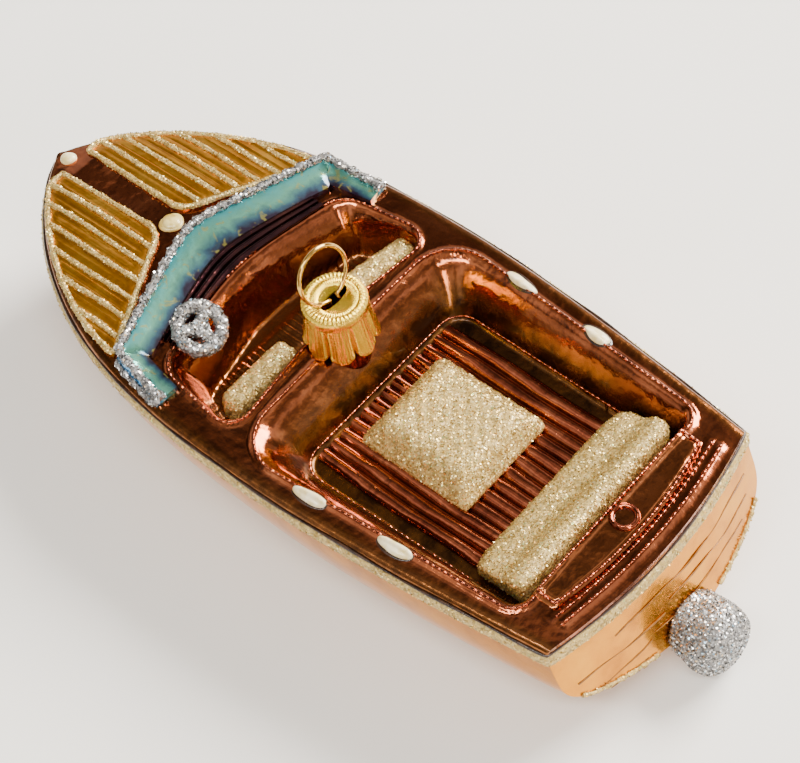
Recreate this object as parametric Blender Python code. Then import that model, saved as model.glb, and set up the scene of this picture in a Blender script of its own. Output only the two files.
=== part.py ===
"""A blown-glass tree ornament in the shape of a runabout motorboat, lying on its hull.

The boat is about 120 mm long. Its frame has +X to the bow, +Y to port and +Z up, with the
origin on the table under the middle of the whole ornament. Stations are measured aft from
the bow tip, and heights are measured from the deck edge.
"""

import math

import bmesh
import bpy
from mathutils import Matrix, Vector

MM = 0.001

# Driving dimensions of the glass boat
LENGTH = 120.0 * MM
HALF_BEAM = 26.8 * MM
WIDEST_STATION = 65.0 * MM
STERN_HALF_BEAM = 22.0 * MM
STERN_BULGE = 3.0 * MM
HULL_DEPTH = 21.8 * MM
TRANSOM_DEPTH = 16.8 * MM
TRANSOM_LEAN = 5.0 * MM
TRANSOM_VEE = 0.3
OUTDRIVE_REACH = 12.2 * MM
OUTDRIVE_Z = 6.1 * MM
GLASS = 1.2 * MM
GAP = 0.1 * MM
STRIPE = 0.55 * MM

BOW_X = (LENGTH + OUTDRIVE_REACH - STRIPE) / 2
DECK_Z = HULL_DEPTH
SEAM_Z = DECK_Z - 1.9 * MM
DECK_EDGE_RADIUS = 1.2 * MM
FOREDECK_CROWN = 1.3 * MM
AFT_DECK_CROWN = 0.5 * MM

# Wells, floor and neck, as stations aft of the bow and heights above the deck edge
FRONT_WELL = (40.5 * MM, 57.6 * MM)
REAR_WELL = (62.0 * MM, 110.0 * MM)
WELL_DEPTH = 7.4 * MM
NECK_STATION = 61.3 * MM
NECK_RADIUS = 4.0 * MM
NECK_BORE = 3.1 * MM
NECK_DEPTH = 6.0 * MM
NECK_HEIGHT = 9.1 * MM
CAP_TOP = 10.3 * MM
CAP_RADIUS = 5.0 * MM
CAP_SHEET = 0.45 * MM
WIRE_RADIUS = 0.33 * MM
LOOP_RADIUS = 4.4 * MM
LOOP_RAISE = 0.4 * MM
LOOP_LEAN = math.radians(16)
LEG_LENGTH = 3.0 * MM

# Plates, lights and cleats on the deck
PANEL_TIP = 4.5 * MM
PANEL_INNER = 2.4 * MM
PANEL_OUTER = 22.9 * MM
PANEL_AFT = 25.8 * MM
PANEL_MARGIN = 1.4 * MM
PANEL_RISE = 0.55 * MM
BOW_LIGHT = (2.6 * MM, (2.6 * MM, 2.4 * MM), 0.7 * MM)
FOREDECK_LIGHT = (26.0 * MM, (3.5 * MM, 3.7 * MM), 0.8 * MM)
CLEAT_SIZE = (5.2 * MM, 1.9 * MM)
CLEATS = {"fwd": (75.9 * MM, 23.2 * MM), "aft": (90.8 * MM, 22.2 * MM)}
VENT_STATION = 113.0 * MM
VENT_HOLE = 2.3 * MM
AFT_PANEL_HALF = 16.6 * MM

# Windscreen, dash and wheel
SCREEN_MIDDLE = 30.9 * MM
SCREEN_CORNER = (37.7 * MM, 22.6 * MM)
SCREEN_END = (47.4 * MM, 24.3 * MM)
SCREEN_DEPTH = 5.4 * MM
SCREEN_BEAD = 0.55 * MM
DASH_HALF = 16.4 * MM
WHEEL_AT = (44.3 * MM, 12.3 * MM, 2.6 * MM)
WHEEL_RADIUS = 3.35 * MM
WHEEL_RIM = 0.95 * MM
WHEEL_TILT = math.radians(34)

# Seats, engine box and floor
SEATS = {"port": (54.3 * MM, 11.2 * MM, 0.0), "starboard": (54.6 * MM, -12.7 * MM, -9.0)}
SEAT_SIZE = (4.3 * MM, 6.3 * MM)
BOX_ENDS = (71.8 * MM, 91.4 * MM)
BOX_HALF = 8.9 * MM
PLANK_ENDS = (68.9 * MM, 98.0 * MM)
PLANK_HALF = 15.0 * MM
PLANKS = 13
FLOOR_Z = DECK_Z - WELL_DEPTH

HULL_STATIONS = 25
HULL_POINTS = 20
COLOURS = {
    "gold_lustre": ("#D9A441", 1.0, 0.25),
    "copper_lustre": ("#8A4630", 1.0, 0.18),
    "cream_glitter": ("#D8C48C", 0.3, 0.6),
    "silver_glitter": ("#C9C9CC", 0.6, 0.5),
    "amber_lustre": ("#C98A2B", 0.8, 0.3),
    "cream_enamel": ("#F0E6C4", 0.0, 0.35),
    "teal_lustre": ("#4F8F86", 0.5, 0.15),
    "dark_lustre": ("#3A2622", 0.8, 0.3),
    "stamped_brass": ("#D9B23A", 1.0, 0.35),
    "brass_wire": ("#C9A24A", 1.0, 0.2),
}


def station_x(station):
    """World X of a distance aft of the bow tip."""
    return BOW_X - station


def linear(hex_colour):
    """An sRGB hex colour as linear RGBA."""
    parts = [int(hex_colour[i : i + 2], 16) / 255 for i in (1, 3, 5)]
    return [c / 12.92 if c <= 0.04045 else ((c + 0.055) / 1.055) ** 2.4 for c in parts] + [1.0]


def finish(name):
    """The material of that name, made on its first use."""
    if name in bpy.data.materials:
        return bpy.data.materials[name]
    colour, metallic, roughness = COLOURS[name]
    made = bpy.data.materials.new(name)
    made.use_nodes = True
    shader = made.node_tree.nodes["Principled BSDF"]
    shader.inputs["Base Color"].default_value = linear(colour)
    shader.inputs["Metallic"].default_value = metallic
    shader.inputs["Roughness"].default_value = roughness
    return made


def add_mesh(name, points, faces, material, sharp=35):
    """A mesh object, its normals facing out and its round parts shaded smooth."""
    mesh = bpy.data.meshes.new(name)
    mesh.from_pydata([tuple(p) for p in points], [], faces)
    work = bmesh.new()
    work.from_mesh(mesh)
    bmesh.ops.recalc_face_normals(work, faces=work.faces)
    if work.calc_volume(signed=True) < 0:
        bmesh.ops.reverse_faces(work, faces=work.faces)
    work.to_mesh(mesh)
    work.free()
    mesh.materials.append(finish(material))
    mesh.shade_smooth()
    mesh.set_sharp_from_angle(angle=math.radians(sharp))
    made = bpy.data.objects.new(name, mesh)
    bpy.context.scene.collection.objects.link(made)
    return made


def as_cutter(helper):
    """Hides an object that only cuts or joins another."""
    helper.hide_render = True
    helper.display_type = "WIRE"
    return helper


def combine(target, helper, operation):
    """Adds a live Boolean of the helper to the target."""
    step = target.modifiers.new(helper.name, "BOOLEAN")
    step.object = as_cutter(helper)
    step.operation = operation
    step.solver = "EXACT"


def slab(name, top, bottom, material):
    """A closed solid between two grids with the same rows and columns."""
    rows = len(top)
    columns = len(top[0])
    points = [p for grid in (top, bottom) for row in grid for p in row]

    def at(grid, row, column):
        return grid * rows * columns + row * columns + column

    faces = []
    for r in range(rows - 1):
        for c in range(columns - 1):
            faces.append((at(0, r, c), at(0, r, c + 1), at(0, r + 1, c + 1), at(0, r + 1, c)))
            faces.append((at(1, r, c), at(1, r + 1, c), at(1, r + 1, c + 1), at(1, r, c + 1)))
        for c in (0, columns - 1):
            faces.append((at(0, r, c), at(0, r + 1, c), at(1, r + 1, c), at(1, r, c)))
    for c in range(columns - 1):
        for r in (0, rows - 1):
            faces.append((at(0, r, c), at(1, r, c), at(1, r, c + 1), at(0, r, c + 1)))
    return add_mesh(name, points, faces, material)


def stacked(name, rings, material, loop=False):
    """A closed solid through rings of equal count, capped at both ends or joined in a loop."""
    count = len(rings[0])
    points = [p for ring in rings for p in ring]
    faces = []
    pairs = len(rings) if loop else len(rings) - 1
    for r in range(pairs):
        after = (r + 1) % len(rings)
        for c in range(count):
            d = (c + 1) % count
            faces.append((r * count + c, r * count + d, after * count + d, after * count + c))
    if not loop:
        faces.append(tuple(range(count)))
        faces.append(tuple(range((len(rings) - 1) * count, len(rings) * count)))
    return add_mesh(name, points, faces, material)


def turned(name, profile, centre, material, sides=32):
    """A body of revolution round a vertical axis from (radius, height) pairs, its ends capped."""
    rings = []
    for radius, height in profile:
        ring = []
        for k in range(sides):
            turn = 2 * math.pi * k / sides
            offset = Vector((radius * math.cos(turn), radius * math.sin(turn), height))
            ring.append(centre + offset)
        rings.append(ring)
    return stacked(name, rings, material)


def ring_of(name, profile, centre, material, sides):
    """A turned ring round a vertical axis, from a closed profile of (radius, height) pairs."""
    rings = []
    for k in range(sides):
        turn = 2 * math.pi * k / sides
        out = Vector((math.cos(turn), math.sin(turn), 0))
        rings.append([centre + out * radius + Vector((0, 0, z)) for radius, z in profile])
    return stacked(name, rings, material, loop=True)


def rounded(corners, radii, steps):
    """A closed outline in plan with each corner replaced by an arc."""
    outline = []
    for k, corner in enumerate(corners):
        corner = Vector(corner)
        before = (Vector(corners[k - 1]) - corner).normalized()
        after = (Vector(corners[(k + 1) % len(corners)]) - corner).normalized()
        half = before.angle(after) / 2
        bisector = (before + after).normalized()
        centre = corner + bisector * (radii[k] / math.sin(half))
        start = corner + before * (radii[k] / math.tan(half)) - centre
        end = corner + after * (radii[k] / math.tan(half)) - centre
        sweep = start.angle_signed(end)
        for j in range(steps + 1):
            outline.append(centre + Matrix.Rotation(-sweep * j / steps, 2) @ start)
    return outline


# Lines of the boat


def half_beam(station):
    """Half the boat's width at the deck edge, at a distance aft of the bow tip."""
    if station < WIDEST_STATION:
        t = max(station, 0.0) / WIDEST_STATION
        return HALF_BEAM * (1 - (1 - t) ** 2.8) ** 0.75
    t = (station - WIDEST_STATION) / (LENGTH - STERN_BULGE - WIDEST_STATION)
    return HALF_BEAM - (HALF_BEAM - STERN_HALF_BEAM) * t**1.6


def hull_depth(station):
    """Depth of the keel below the seam, at a distance aft of the bow tip."""
    full = HULL_DEPTH - (DECK_Z - SEAM_Z) + 0.5 * MM
    if station < 34 * MM:
        return full * (1 - (1 - station / (34 * MM)) ** 2.3) ** (1 / 2.3)
    if station < 78 * MM:
        return full
    rise = (station - 78 * MM) / (LENGTH - 78 * MM)
    return full - (HULL_DEPTH + 0.5 * MM - TRANSOM_DEPTH) * rise**1.7


def vee(station, share):
    """How much of the depth is left at a share of the half beam, where the bottom is a V."""
    aft = min(max((station - 78 * MM) / (LENGTH - 78 * MM), 0.0), 1.0)
    return 1 - TRANSOM_VEE * aft * share


def section_power(station):
    """How square the section is: round at the bow, nearly a box at the transom."""
    share = station / LENGTH
    return 2.0 + 1.5 * share**1.3 + 3.0 * share**8


def stern_station(y, drop):
    """Station of the stern surface, bowed in plan and leaning aft towards its foot."""
    lean = TRANSOM_LEAN * min(max(drop / TRANSOM_DEPTH, 0.0), 1.0)
    return LENGTH + lean - STERN_BULGE * (y / STERN_HALF_BEAM) ** 2


def transom_foot(y):
    """Depth below the seam of the transom's bottom edge."""
    share = abs(y) / STERN_HALF_BEAM
    power = section_power(LENGTH)
    return hull_depth(LENGTH) * (1 - share**power) ** (1 / power) * vee(LENGTH, share)


def deck_height(station, y):
    """World Z of the deck's upper surface."""
    half = max(half_beam(station), 0.3 * MM)
    radius = min(DECK_EDGE_RADIUS, 0.7 * half)
    flat = half - radius
    if abs(y) > flat:
        over = min(abs(y) - flat, radius)
        return DECK_Z - radius + math.sqrt(radius**2 - over**2)
    forward = math.exp(-(((station - 24 * MM) / (24 * MM)) ** 2))
    crown = AFT_DECK_CROWN + (FOREDECK_CROWN - AFT_DECK_CROWN) * forward
    return DECK_Z + crown * min(1.0, station / (6 * MM)) * (1 - (y / flat) ** 2)


def fractions(count):
    """Fractions of the length from bow to stern, close together at the bow."""
    return [max(0.0015, (k / (count - 1)) ** 1.5) for k in range(count)]


# Glass body


def hull_surface(inset):
    """Rings of the hull from the port seam round the keel to starboard, and the transom rows."""
    rings = []
    start = 0.0 if inset == 0 else 2.4 * MM / LENGTH
    for f in fractions(HULL_STATIONS):
        f = start + (1 - start) * f
        edge = f * (LENGTH - STERN_BULGE)
        half = max(half_beam(edge) - inset, 0.3 * MM)
        depth = max(hull_depth(f * LENGTH) - inset, 0.3 * MM)
        power = 2 / section_power(f * LENGTH)
        ring = []
        for k in range(HULL_POINTS + 1):
            turn = math.pi * k / HULL_POINTS
            y = half * math.copysign(abs(math.cos(turn)) ** power, math.cos(turn))
            drop = depth * abs(math.sin(turn)) ** power * vee(f * LENGTH, abs(y) / half)
            drop = min(drop, SEAM_Z - inset)
            station = f * (stern_station(y, drop) - inset)
            ring.append(Vector((station_x(station), y, SEAM_Z - drop)))
        rings.append(ring)
    rows = []
    for part in range(4):
        row = []
        for p in rings[-1]:
            drop = (SEAM_Z - p.z) * part / 4
            row.append(Vector((station_x(stern_station(p.y, drop) - inset), p.y, SEAM_Z - drop)))
        rows.append(row)
    return rings, rows


def hull_shell():
    """The lower half of the blown body: a thin cup, open at the seam under the deck."""
    points = []
    faces = []
    tops = []
    for inset in (0.0, GLASS):
        rings, rows = hull_surface(inset)
        index = {}

        def place(p):
            key = (round(p.x * 1e7), round(p.y * 1e7), round(p.z * 1e7))
            if key not in index:
                index[key] = len(points)
                points.append(p)
            return index[key]

        def quad(a, b, c, d):
            corners = []
            for p in (a, b, c, d):
                if place(p) not in corners:
                    corners.append(place(p))
            if len(corners) > 2:
                faces.append(tuple(corners))

        for before, after in zip(rings, rings[1:]):
            for k in range(HULL_POINTS):
                quad(before[k], before[k + 1], after[k + 1], after[k])
        stern = [*rows, rings[-1]]
        for above, below in zip(stern, stern[1:]):
            for k in range(HULL_POINTS):
                quad(above[k], above[k + 1], below[k + 1], below[k])
        faces.append(tuple(dict.fromkeys(place(p) for p in rings[0])))
        port = [ring[0] for ring in rings]
        starboard = [ring[-1] for ring in rings]
        edge = port + rows[0][1:-1] + starboard[::-1]
        tops.append([place(p) for p in edge])
    outer, inner = tops
    for k in range(len(outer)):
        n = (k + 1) % len(outer)
        faces.append((outer[k], outer[n], inner[n], inner[k]))
    return add_mesh("hull_shell", points, faces, "gold_lustre")


def deck_grid(height):
    """A grid over the deck's outline at a height for each station and half width."""
    grid = []
    for f in fractions(HULL_STATIONS):
        edge = f * (LENGTH - STERN_BULGE)
        half = half_beam(edge)
        radius = min(DECK_EDGE_RADIUS, 0.7 * half)
        flat = half - radius
        across = [flat + radius * math.sin(math.radians(a)) for a in (90, 60, 30)]
        across += [flat * share for share in (1.0, 0.75, 0.5, 0.25)]
        row = []
        for y in across + [0.0] + [-a for a in reversed(across)]:
            station = f * stern_station(y, 0)
            row.append(Vector((station_x(station), y, height(edge, y))))
        grid.append(row)
    return grid


def mirrored(corners):
    """The same corners on the starboard side, in reverse order."""
    return [(station, -half) for station, half in reversed(corners)]


def well_outlines(which, wall):
    """Rim and floor outlines of a well, let out by the glass wall for the outside of its tub."""
    if which == "front":
        fore, aft = FRONT_WELL
        apex, corner = fore - 0.6 * MM, fore + 3.2 * MM
        ahead, behind, bowed = 4.4 * MM, 0.5 * MM, 1.6 * MM
        port_rim = [(corner, 19.5), (aft + bowed, 21.6), (aft, 6.0)]
        port_floor = [(corner + ahead, 16.8), (aft + bowed - behind, 20.6), (aft - behind, 6.0)]
        rim = [(apex, 0.0), *port_rim, *mirrored(port_rim)]
        floor = [(apex + ahead, 0.0), *port_floor, *mirrored(port_floor)]
        radii = (45.0, 4.0, 3.0, 20.0, 20.0, 3.0, 4.0)
    else:
        fore, aft = REAR_WELL
        rim = [(fore, 23.0), (aft, 19.4), (aft, -19.4), (fore, -23.0)]
        ahead, behind = 5.6 * MM, 0.7 * MM
        floor = [(fore + ahead, 17.4), (aft - behind, 16.6)]
        floor += [(aft - behind, -16.6), (fore + ahead, -17.4)]
        radii = (6.0, 2.5, 2.5, 6.0)
    outlines = []
    for corners, shrink in ((rim, 1.0), (floor, 0.55)):
        grown = []
        for station, half in corners:
            station += wall if station > (fore + aft) / 2 else -wall
            outward = math.copysign(wall, half) if half else 0.0
            grown.append((station_x(station), half * MM + outward))
        outlines.append(rounded(grown, [r * MM * shrink + wall for r in radii], 5))
    return outlines


def well_solid(name, which, wall):
    """The space in a well, or the tub around it when a wall is given."""
    rim, floor = well_outlines(which, wall)
    floor_z = DECK_Z - WELL_DEPTH - wall
    above = 4.0 * MM if wall == 0 else -0.6 * MM
    rings = [[Vector((p.x, p.y, DECK_Z + above)) for p in rim]]
    if wall == 0:
        rings.append([Vector((p.x, p.y, DECK_Z + 0.4 * MM)) for p in rim])
    for share, level in ((0.55, 0.45), (0.86, 0.8), (1.0, 0.95)):
        height = DECK_Z + 0.4 * MM
        ring = [a.lerp(b, share) for a, b in zip(rim, floor)]
        rings.append([Vector((p.x, p.y, height + (floor_z - height) * level)) for p in ring])
    inner = [p * 0.97 + (sum(floor, Vector((0, 0))) / len(floor)) * 0.03 for p in floor]
    rings.append([Vector((p.x, p.y, floor_z)) for p in inner])
    return stacked(name, rings, "copper_lustre")


def neck_foot():
    """The middle of the neck at the height of the deck edge."""
    return Vector((station_x(NECK_STATION), 0, DECK_Z))


def neck():
    """The glass tube that the ornament was blown through, open at both ends."""
    inner, outer = NECK_BORE, NECK_RADIUS
    profile = [(inner, -NECK_DEPTH), (outer, -NECK_DEPTH), (outer, NECK_HEIGHT - 0.4 * MM)]
    profile += [(outer - 0.3 * MM, NECK_HEIGHT), (inner, NECK_HEIGHT)]
    return ring_of("neck", profile, neck_foot(), "copper_lustre", 32)


def deck_shell():
    """The upper half of the blown body: the deck with both wells sunk in it."""
    underside = SEAM_Z + GAP
    below = deck_grid(lambda station, y: underside)
    deck = slab("deck_shell", deck_grid(deck_height), below, "copper_lustre")
    for which in ("front", "rear"):
        combine(deck, well_solid(which + "_tub", which, GLASS), "UNION")
    for which in ("front", "rear"):
        combine(deck, well_solid(which + "_space", which, 0.0), "DIFFERENCE")
    seat = [(NECK_RADIUS + GAP, -NECK_DEPTH - GAP), (NECK_RADIUS + GAP, 14.0 * MM)]
    combine(deck, turned("neck_seat", seat, neck_foot(), "copper_lustre"), "DIFFERENCE")
    return deck


def edge_outline(offset, drop):
    """The boat's outline a little below the deck edge, moved out by an offset, as a loop."""
    corner = stern_station(STERN_HALF_BEAM, drop)
    side = [(f * corner, half_beam(f * (LENGTH - STERN_BULGE))) for f in fractions(HULL_STATIONS)]
    loop = [Vector((station_x(station), y)) for station, y in side]
    for k in range(1, 8):
        y = STERN_HALF_BEAM * (1 - k / 4)
        loop.append(Vector((station_x(stern_station(y, drop)), y)))
    loop += [Vector((station_x(station), -y)) for station, y in reversed(side)]
    moved = []
    for k, p in enumerate(loop):
        along = (loop[(k + 1) % len(loop)] - loop[k - 1]).normalized()
        moved.append(p + Vector((along.y, -along.x)) * offset)
    return moved


def sheer_stripe():
    """The band of coarse glitter glued round the boat just under the deck edge."""
    above, below, soft = 0.8 * MM, 1.3 * MM, 0.3 * MM
    corners = ((GAP, -above), (STRIPE, soft - above), (STRIPE, below - soft), (GAP, below))
    loops = []
    for out, drop in corners:
        outline = edge_outline(out, max(drop, 0.0))
        loops.append([Vector((*p, SEAM_Z - drop)) for p in outline])
    rings = [list(ring) for ring in zip(*loops)]
    return stacked("sheer_stripe", rings, "cream_glitter", loop=True)


# Trim and fittings on the deck


def on_deck(station, y, rise):
    """A point that stands a given height over the deck's surface."""
    return Vector((station_x(station), y, deck_height(station, y) + rise))


def tube(name, points, radius, material, closed=False):
    """A round wire or bead through points."""
    curve = bpy.data.curves.new(name, "CURVE")
    curve.dimensions = "3D"
    curve.bevel_depth = radius
    curve.bevel_resolution = 2
    curve.use_fill_caps = True
    line = curve.splines.new("POLY")
    line.points.add(len(points) - 1)
    for target, p in zip(line.points, points):
        target.co = (*p, 1.0)
    line.use_cyclic_u = closed
    curve.materials.append(finish(material))
    made = bpy.data.objects.new(name, curve)
    bpy.context.scene.collection.objects.link(made)
    return made


def transom_trims():
    """The glitter line along the transom's bottom edge, in two runs beside the outdrive."""
    radius = 0.5 * MM
    halves = [half * MM for half in (7.0, 9.5, 12.0, 14.5, 16.5, 18.3, 19.6)]
    for side, sign in (("port", 1), ("starboard", -1)):
        run = []
        for half in halves:
            drop = transom_foot(half)
            station = stern_station(half, drop) + radius + GAP
            run.append(Vector((station_x(station), sign * half, SEAM_Z - drop + 0.2 * MM)))
        tube("transom_trim_" + side, run, radius, "cream_glitter")


def panel_aft_end(y):
    """Station of a foredeck panel's slanting aft edge."""
    return PANEL_AFT + 0.5 * (y - PANEL_INNER)


def panel_fore_end(y):
    """Station where a fore and aft line on a panel meets its curved outer edge."""
    low, high = PANEL_TIP, 36 * MM
    for _ in range(30):
        middle = (low + high) / 2
        low, high = (low, middle) if half_beam(middle) - PANEL_MARGIN > y else (middle, high)
    return max(high, PANEL_TIP)


def foredeck_panel(side, sign):
    """One of the two raised plates of the foredeck, which carry the glitter stripes."""
    grids = []
    for rise in (PANEL_RISE, GAP):
        grid = []
        for c in range(13):
            y = PANEL_INNER + (PANEL_OUTER - PANEL_INNER) * c / 12
            fore = panel_fore_end(y)
            aft = panel_aft_end(y) - (0.8 * MM if c == 0 else 0.0)
            stations = [fore + (aft - fore) * r / 8 for r in range(9)]
            grid.append([on_deck(station, sign * y, rise) for station in stations])
        grids.append(grid)
    return slab("foredeck_panel_" + side, *grids, "amber_lustre")


def oval_pad(name, station, y, size, height, material, tilt=0.0):
    """A low oval boss that stands on the deck, longer fore and aft."""
    length, width = size
    rings = []
    for share, level in ((1.0, 0.0), (1.0, 0.45), (0.86, 0.8), (0.55, 1.0)):
        ring = []
        for k in range(16):
            turn = 2 * math.pi * k / 16
            along = length / 2 * share * math.cos(turn)
            across = width / 2 * share * math.sin(turn)
            x = along * math.cos(tilt) - across * math.sin(tilt)
            across = along * math.sin(tilt) + across * math.cos(tilt)
            ring.append(on_deck(station - x, y + across, GAP + height * level))
        rings.append(ring)
    return stacked(name, rings, material)


def deck_lights():
    """The two cream bosses on the centreline of the foredeck."""
    for name, (station, size, height) in (
        ("bow_light", BOW_LIGHT),
        ("foredeck_light", FOREDECK_LIGHT),
    ):
        oval_pad(name, station, 0.0, size, height, "cream_enamel")


def cleats():
    """Two cream ovals on each side deck, outboard of the rear well's rim."""
    for where, (station, y) in CLEATS.items():
        for side, sign in (("port", 1), ("starboard", -1)):
            name = f"cleat_{side}_{where}"
            oval_pad(name, station, sign * y, CLEAT_SIZE, 0.6 * MM, "cream_enamel", sign * 0.06)


# Windscreen and dash

def screen_line(share):
    """Plan of the windscreen's top edge: share runs from 0 at the middle to 2 at a wing's end."""
    if share <= 1.0:
        bend = math.sqrt(share**2 + 0.02) - math.sqrt(0.02)
        reach = bend / (math.sqrt(1.02) - math.sqrt(0.02))
        station = SCREEN_MIDDLE + (SCREEN_CORNER[0] - SCREEN_MIDDLE) * reach
        return station, SCREEN_CORNER[1] * share
    part = share - 1.0
    station = SCREEN_CORNER[0] + (SCREEN_END[0] - SCREEN_CORNER[0]) * part
    return station, SCREEN_CORNER[1] + (SCREEN_END[1] - SCREEN_CORNER[1]) * part


def screen_reach(share):
    """How far the windscreen's inner foot lies behind its top edge."""
    return SCREEN_DEPTH - 1.2 * MM * share


def screen_section(share, sign):
    """Four points across the windscreen, from its outer foot to its inner one, and its feet."""
    station, y = screen_line(share)
    wing = min(max((share - 0.86) / 0.28, 0.0), 1.0)
    height = (4.4 - 0.9 * min(share, 1.0) - 2.3 * max(share - 1.0, 0.0)) * MM
    fore, side = 1.0 - wing, wing
    outer = Vector((station - 1.3 * MM * fore, y + 1.0 * MM * side))
    reach = screen_reach(share) * fore + 0.6 * MM * side
    inner = Vector((station + reach, y - 3.0 * MM * side))
    top_out = Vector((station - 0.3 * MM * fore, y + 0.3 * MM * side))
    top_in = Vector((station + 0.5 * MM * fore, y - 0.4 * MM * side))
    top_z = DECK_Z + height
    levels = (
        (outer, deck_height(outer.x, outer.y) + 0.6 * MM),
        (top_out, top_z - 0.4 * MM),
        (top_in, top_z - 0.4 * MM),
        (inner, deck_height(inner.x, inner.y) + 1.2 * MM),
    )
    points = [Vector((station_x(plan.x), sign * plan.y, level)) for plan, level in levels]
    plans = [outer.lerp(inner, part) for part in (0.0, 0.33, 0.67, 1.0)]
    feet = [on_deck(plan.x, sign * plan.y, GAP) for plan in plans]
    return points, feet


def windscreen():
    """The wraparound windscreen, a solid glass ridge that slopes down into the cockpit."""
    shares = [2.0, 1.75, 1.5, 1.25, 1.0, 0.85, 0.65, 0.45, 0.25, 0.1]
    top = []
    bottom = []
    for sign in (1, -1):
        rows = [screen_section(share, sign) for share in shares]
        if sign == 1:
            rows.append(screen_section(0.0, 1))
        else:
            rows.reverse()
        top += [row[0] for row in rows]
        bottom += [row[1] for row in rows]
    return slab("windscreen", top, bottom, "teal_lustre")


def windscreen_edge():
    """The bead of silver glitter along the top edge of the windscreen."""
    shares = [1.95, 1.75, 1.5, 1.25, 1.08, 1.0, 0.9, 0.7, 0.5, 0.3, 0.15, 0.0]
    line = []
    for share in shares:
        crest = screen_section(share, 1)[0]
        line.append((crest[1] + crest[2]) / 2 + Vector((0, 0, SCREEN_BEAD + GAP)))
    line += [Vector((p.x, -p.y, p.z)) for p in reversed(line[:-1])]
    return tube("windscreen_edge", line, SCREEN_BEAD, "silver_glitter")


def front_rim(y):
    """Station of the front well's forward rim, which bows aft towards the sides."""
    return FRONT_WELL[0] - 0.6 * MM + 0.195 * math.hypot(y, 4.3 * MM)


def dash():
    """The dark ridged lip between the windscreen and the front well."""
    top = []
    bottom = []
    for k in range(13):
        y = (-1 + k / 6) * DASH_HALF
        share = abs(y) / SCREEN_CORNER[1]
        fore = screen_line(share)[0] + screen_reach(share) + 0.3 * MM
        aft = front_rim(y) - 0.45 * MM
        row = []
        for c in range(7):
            station = fore + (aft - fore) * c / 6
            rise = (1.2 if c % 2 else 0.75) * MM
            row.append(on_deck(station, y, rise - (0.35 * MM if c in (0, 6) else 0.0)))
        top.append(row)
        bottom.append([on_deck(fore + (aft - fore) * c / 6, y, GAP) for c in range(7)])
    return slab("dash", top, bottom, "dark_lustre")


def steering_wheel():
    """The glitter-coated wheel with three spokes, tilted aft, and its short column."""
    centre = Vector((station_x(WHEEL_AT[0]), WHEEL_AT[1], DECK_Z + WHEEL_AT[2]))
    lean = Matrix.Rotation(-WHEEL_TILT, 3, "Y")
    rings = []
    for k in range(24):
        turn = 2 * math.pi * k / 24
        out = Vector((math.cos(turn), math.sin(turn), 0))
        ring = []
        for j in range(8):
            around = 2 * math.pi * j / 8
            offset = out * (WHEEL_RADIUS + WHEEL_RIM * math.cos(around))
            offset += Vector((0, 0, WHEEL_RIM * math.sin(around)))
            ring.append(centre + lean @ offset)
        rings.append(ring)
    wheel = stacked("steering_wheel", rings, "silver_glitter", loop=True)
    foot = Vector((centre.x, centre.y, DECK_Z - 1.1 * MM))
    level = Matrix.Identity(3)
    hub_top = centre + lean @ Vector((0, 0, 0.7 * MM))
    hub_back = centre + lean @ Vector((0, 0, -0.8 * MM))
    neck = centre + Vector((0, 0, -1.9 * MM))
    rings = []
    for at, facing, radius in (
        (hub_top, lean, 1.5 * MM),
        (hub_back, lean, 1.4 * MM),
        (neck, level, 0.8 * MM),
        (foot, level, 0.8 * MM),
    ):
        ring = []
        for j in range(12):
            around = 2 * math.pi * j / 12
            out = Vector((math.cos(around), math.sin(around), 0))
            ring.append(at + facing @ (out * radius))
        rings.append(ring)
    combine(wheel, stacked("wheel_column", rings, "silver_glitter"), "UNION")
    for k in range(3):
        turn = math.radians(60 + 120 * k)
        out = lean @ Vector((math.cos(turn), math.sin(turn), 0))
        across = lean @ Vector((-math.sin(turn), math.cos(turn), 0))
        up = lean @ Vector((0, 0, 1))
        rings = []
        for reach in (1.0 * MM, WHEEL_RADIUS + 0.1 * MM):
            mid = centre + out * reach
            corners = ((1, 0.6), (-1, 0.6), (-1, -0.6), (1, -0.6))
            rings.append([mid + across * a * 0.75 * MM + up * b * MM for a, b in corners])
        combine(wheel, stacked(f"wheel_spoke_{k}", rings, "silver_glitter"), "UNION")
    return wheel


# Seats, engine box and floor

def block(name, ends, half, heights, draft):
    """A glitter-coated block with leaning sides and rounded upper edges."""
    base, top = heights
    round_edge = 1.2 * MM
    rings = []
    levels = [(0.0, base)]
    for k in range(4):
        turn = math.radians(30 * k)
        inward = draft + round_edge * (1 - math.cos(turn))
        levels.append((inward, top - round_edge + round_edge * math.sin(turn)))
    corner = 1.6 * MM
    for inward, height in levels:
        x0 = station_x(ends[0]) - inward
        x1 = station_x(ends[1]) + inward
        y = half - inward
        plan = rounded([(x0, y), (x1, y), (x1, -y), (x0, -y)], [corner] * 4, 3)
        rings.append([Vector((p.x, p.y, height)) for p in plan])
    return stacked(name, rings, "cream_glitter")


def front_seats():
    """The two glitter-coated cushions against the ridge between the wells."""
    depth, half = SEAT_SIZE
    levels = (FLOOR_Z + 0.4 * MM, DECK_Z - 1.4 * MM)
    for side, (station, y, turn) in SEATS.items():
        ends = (BOW_X - depth / 2, BOW_X + depth / 2)
        seat = block("front_seat_" + side, ends, half, levels, 0.2 * MM)
        seat.location = (station_x(station), y, 0)
        seat.rotation_euler.z = math.radians(turn)


def engine_box():
    """The padded engine box in the middle of the rear well."""
    levels = (FLOOR_Z + 0.9 * MM, DECK_Z - 2.9 * MM)
    return block("engine_box", BOX_ENDS, BOX_HALF, levels, 1.2 * MM)


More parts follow.
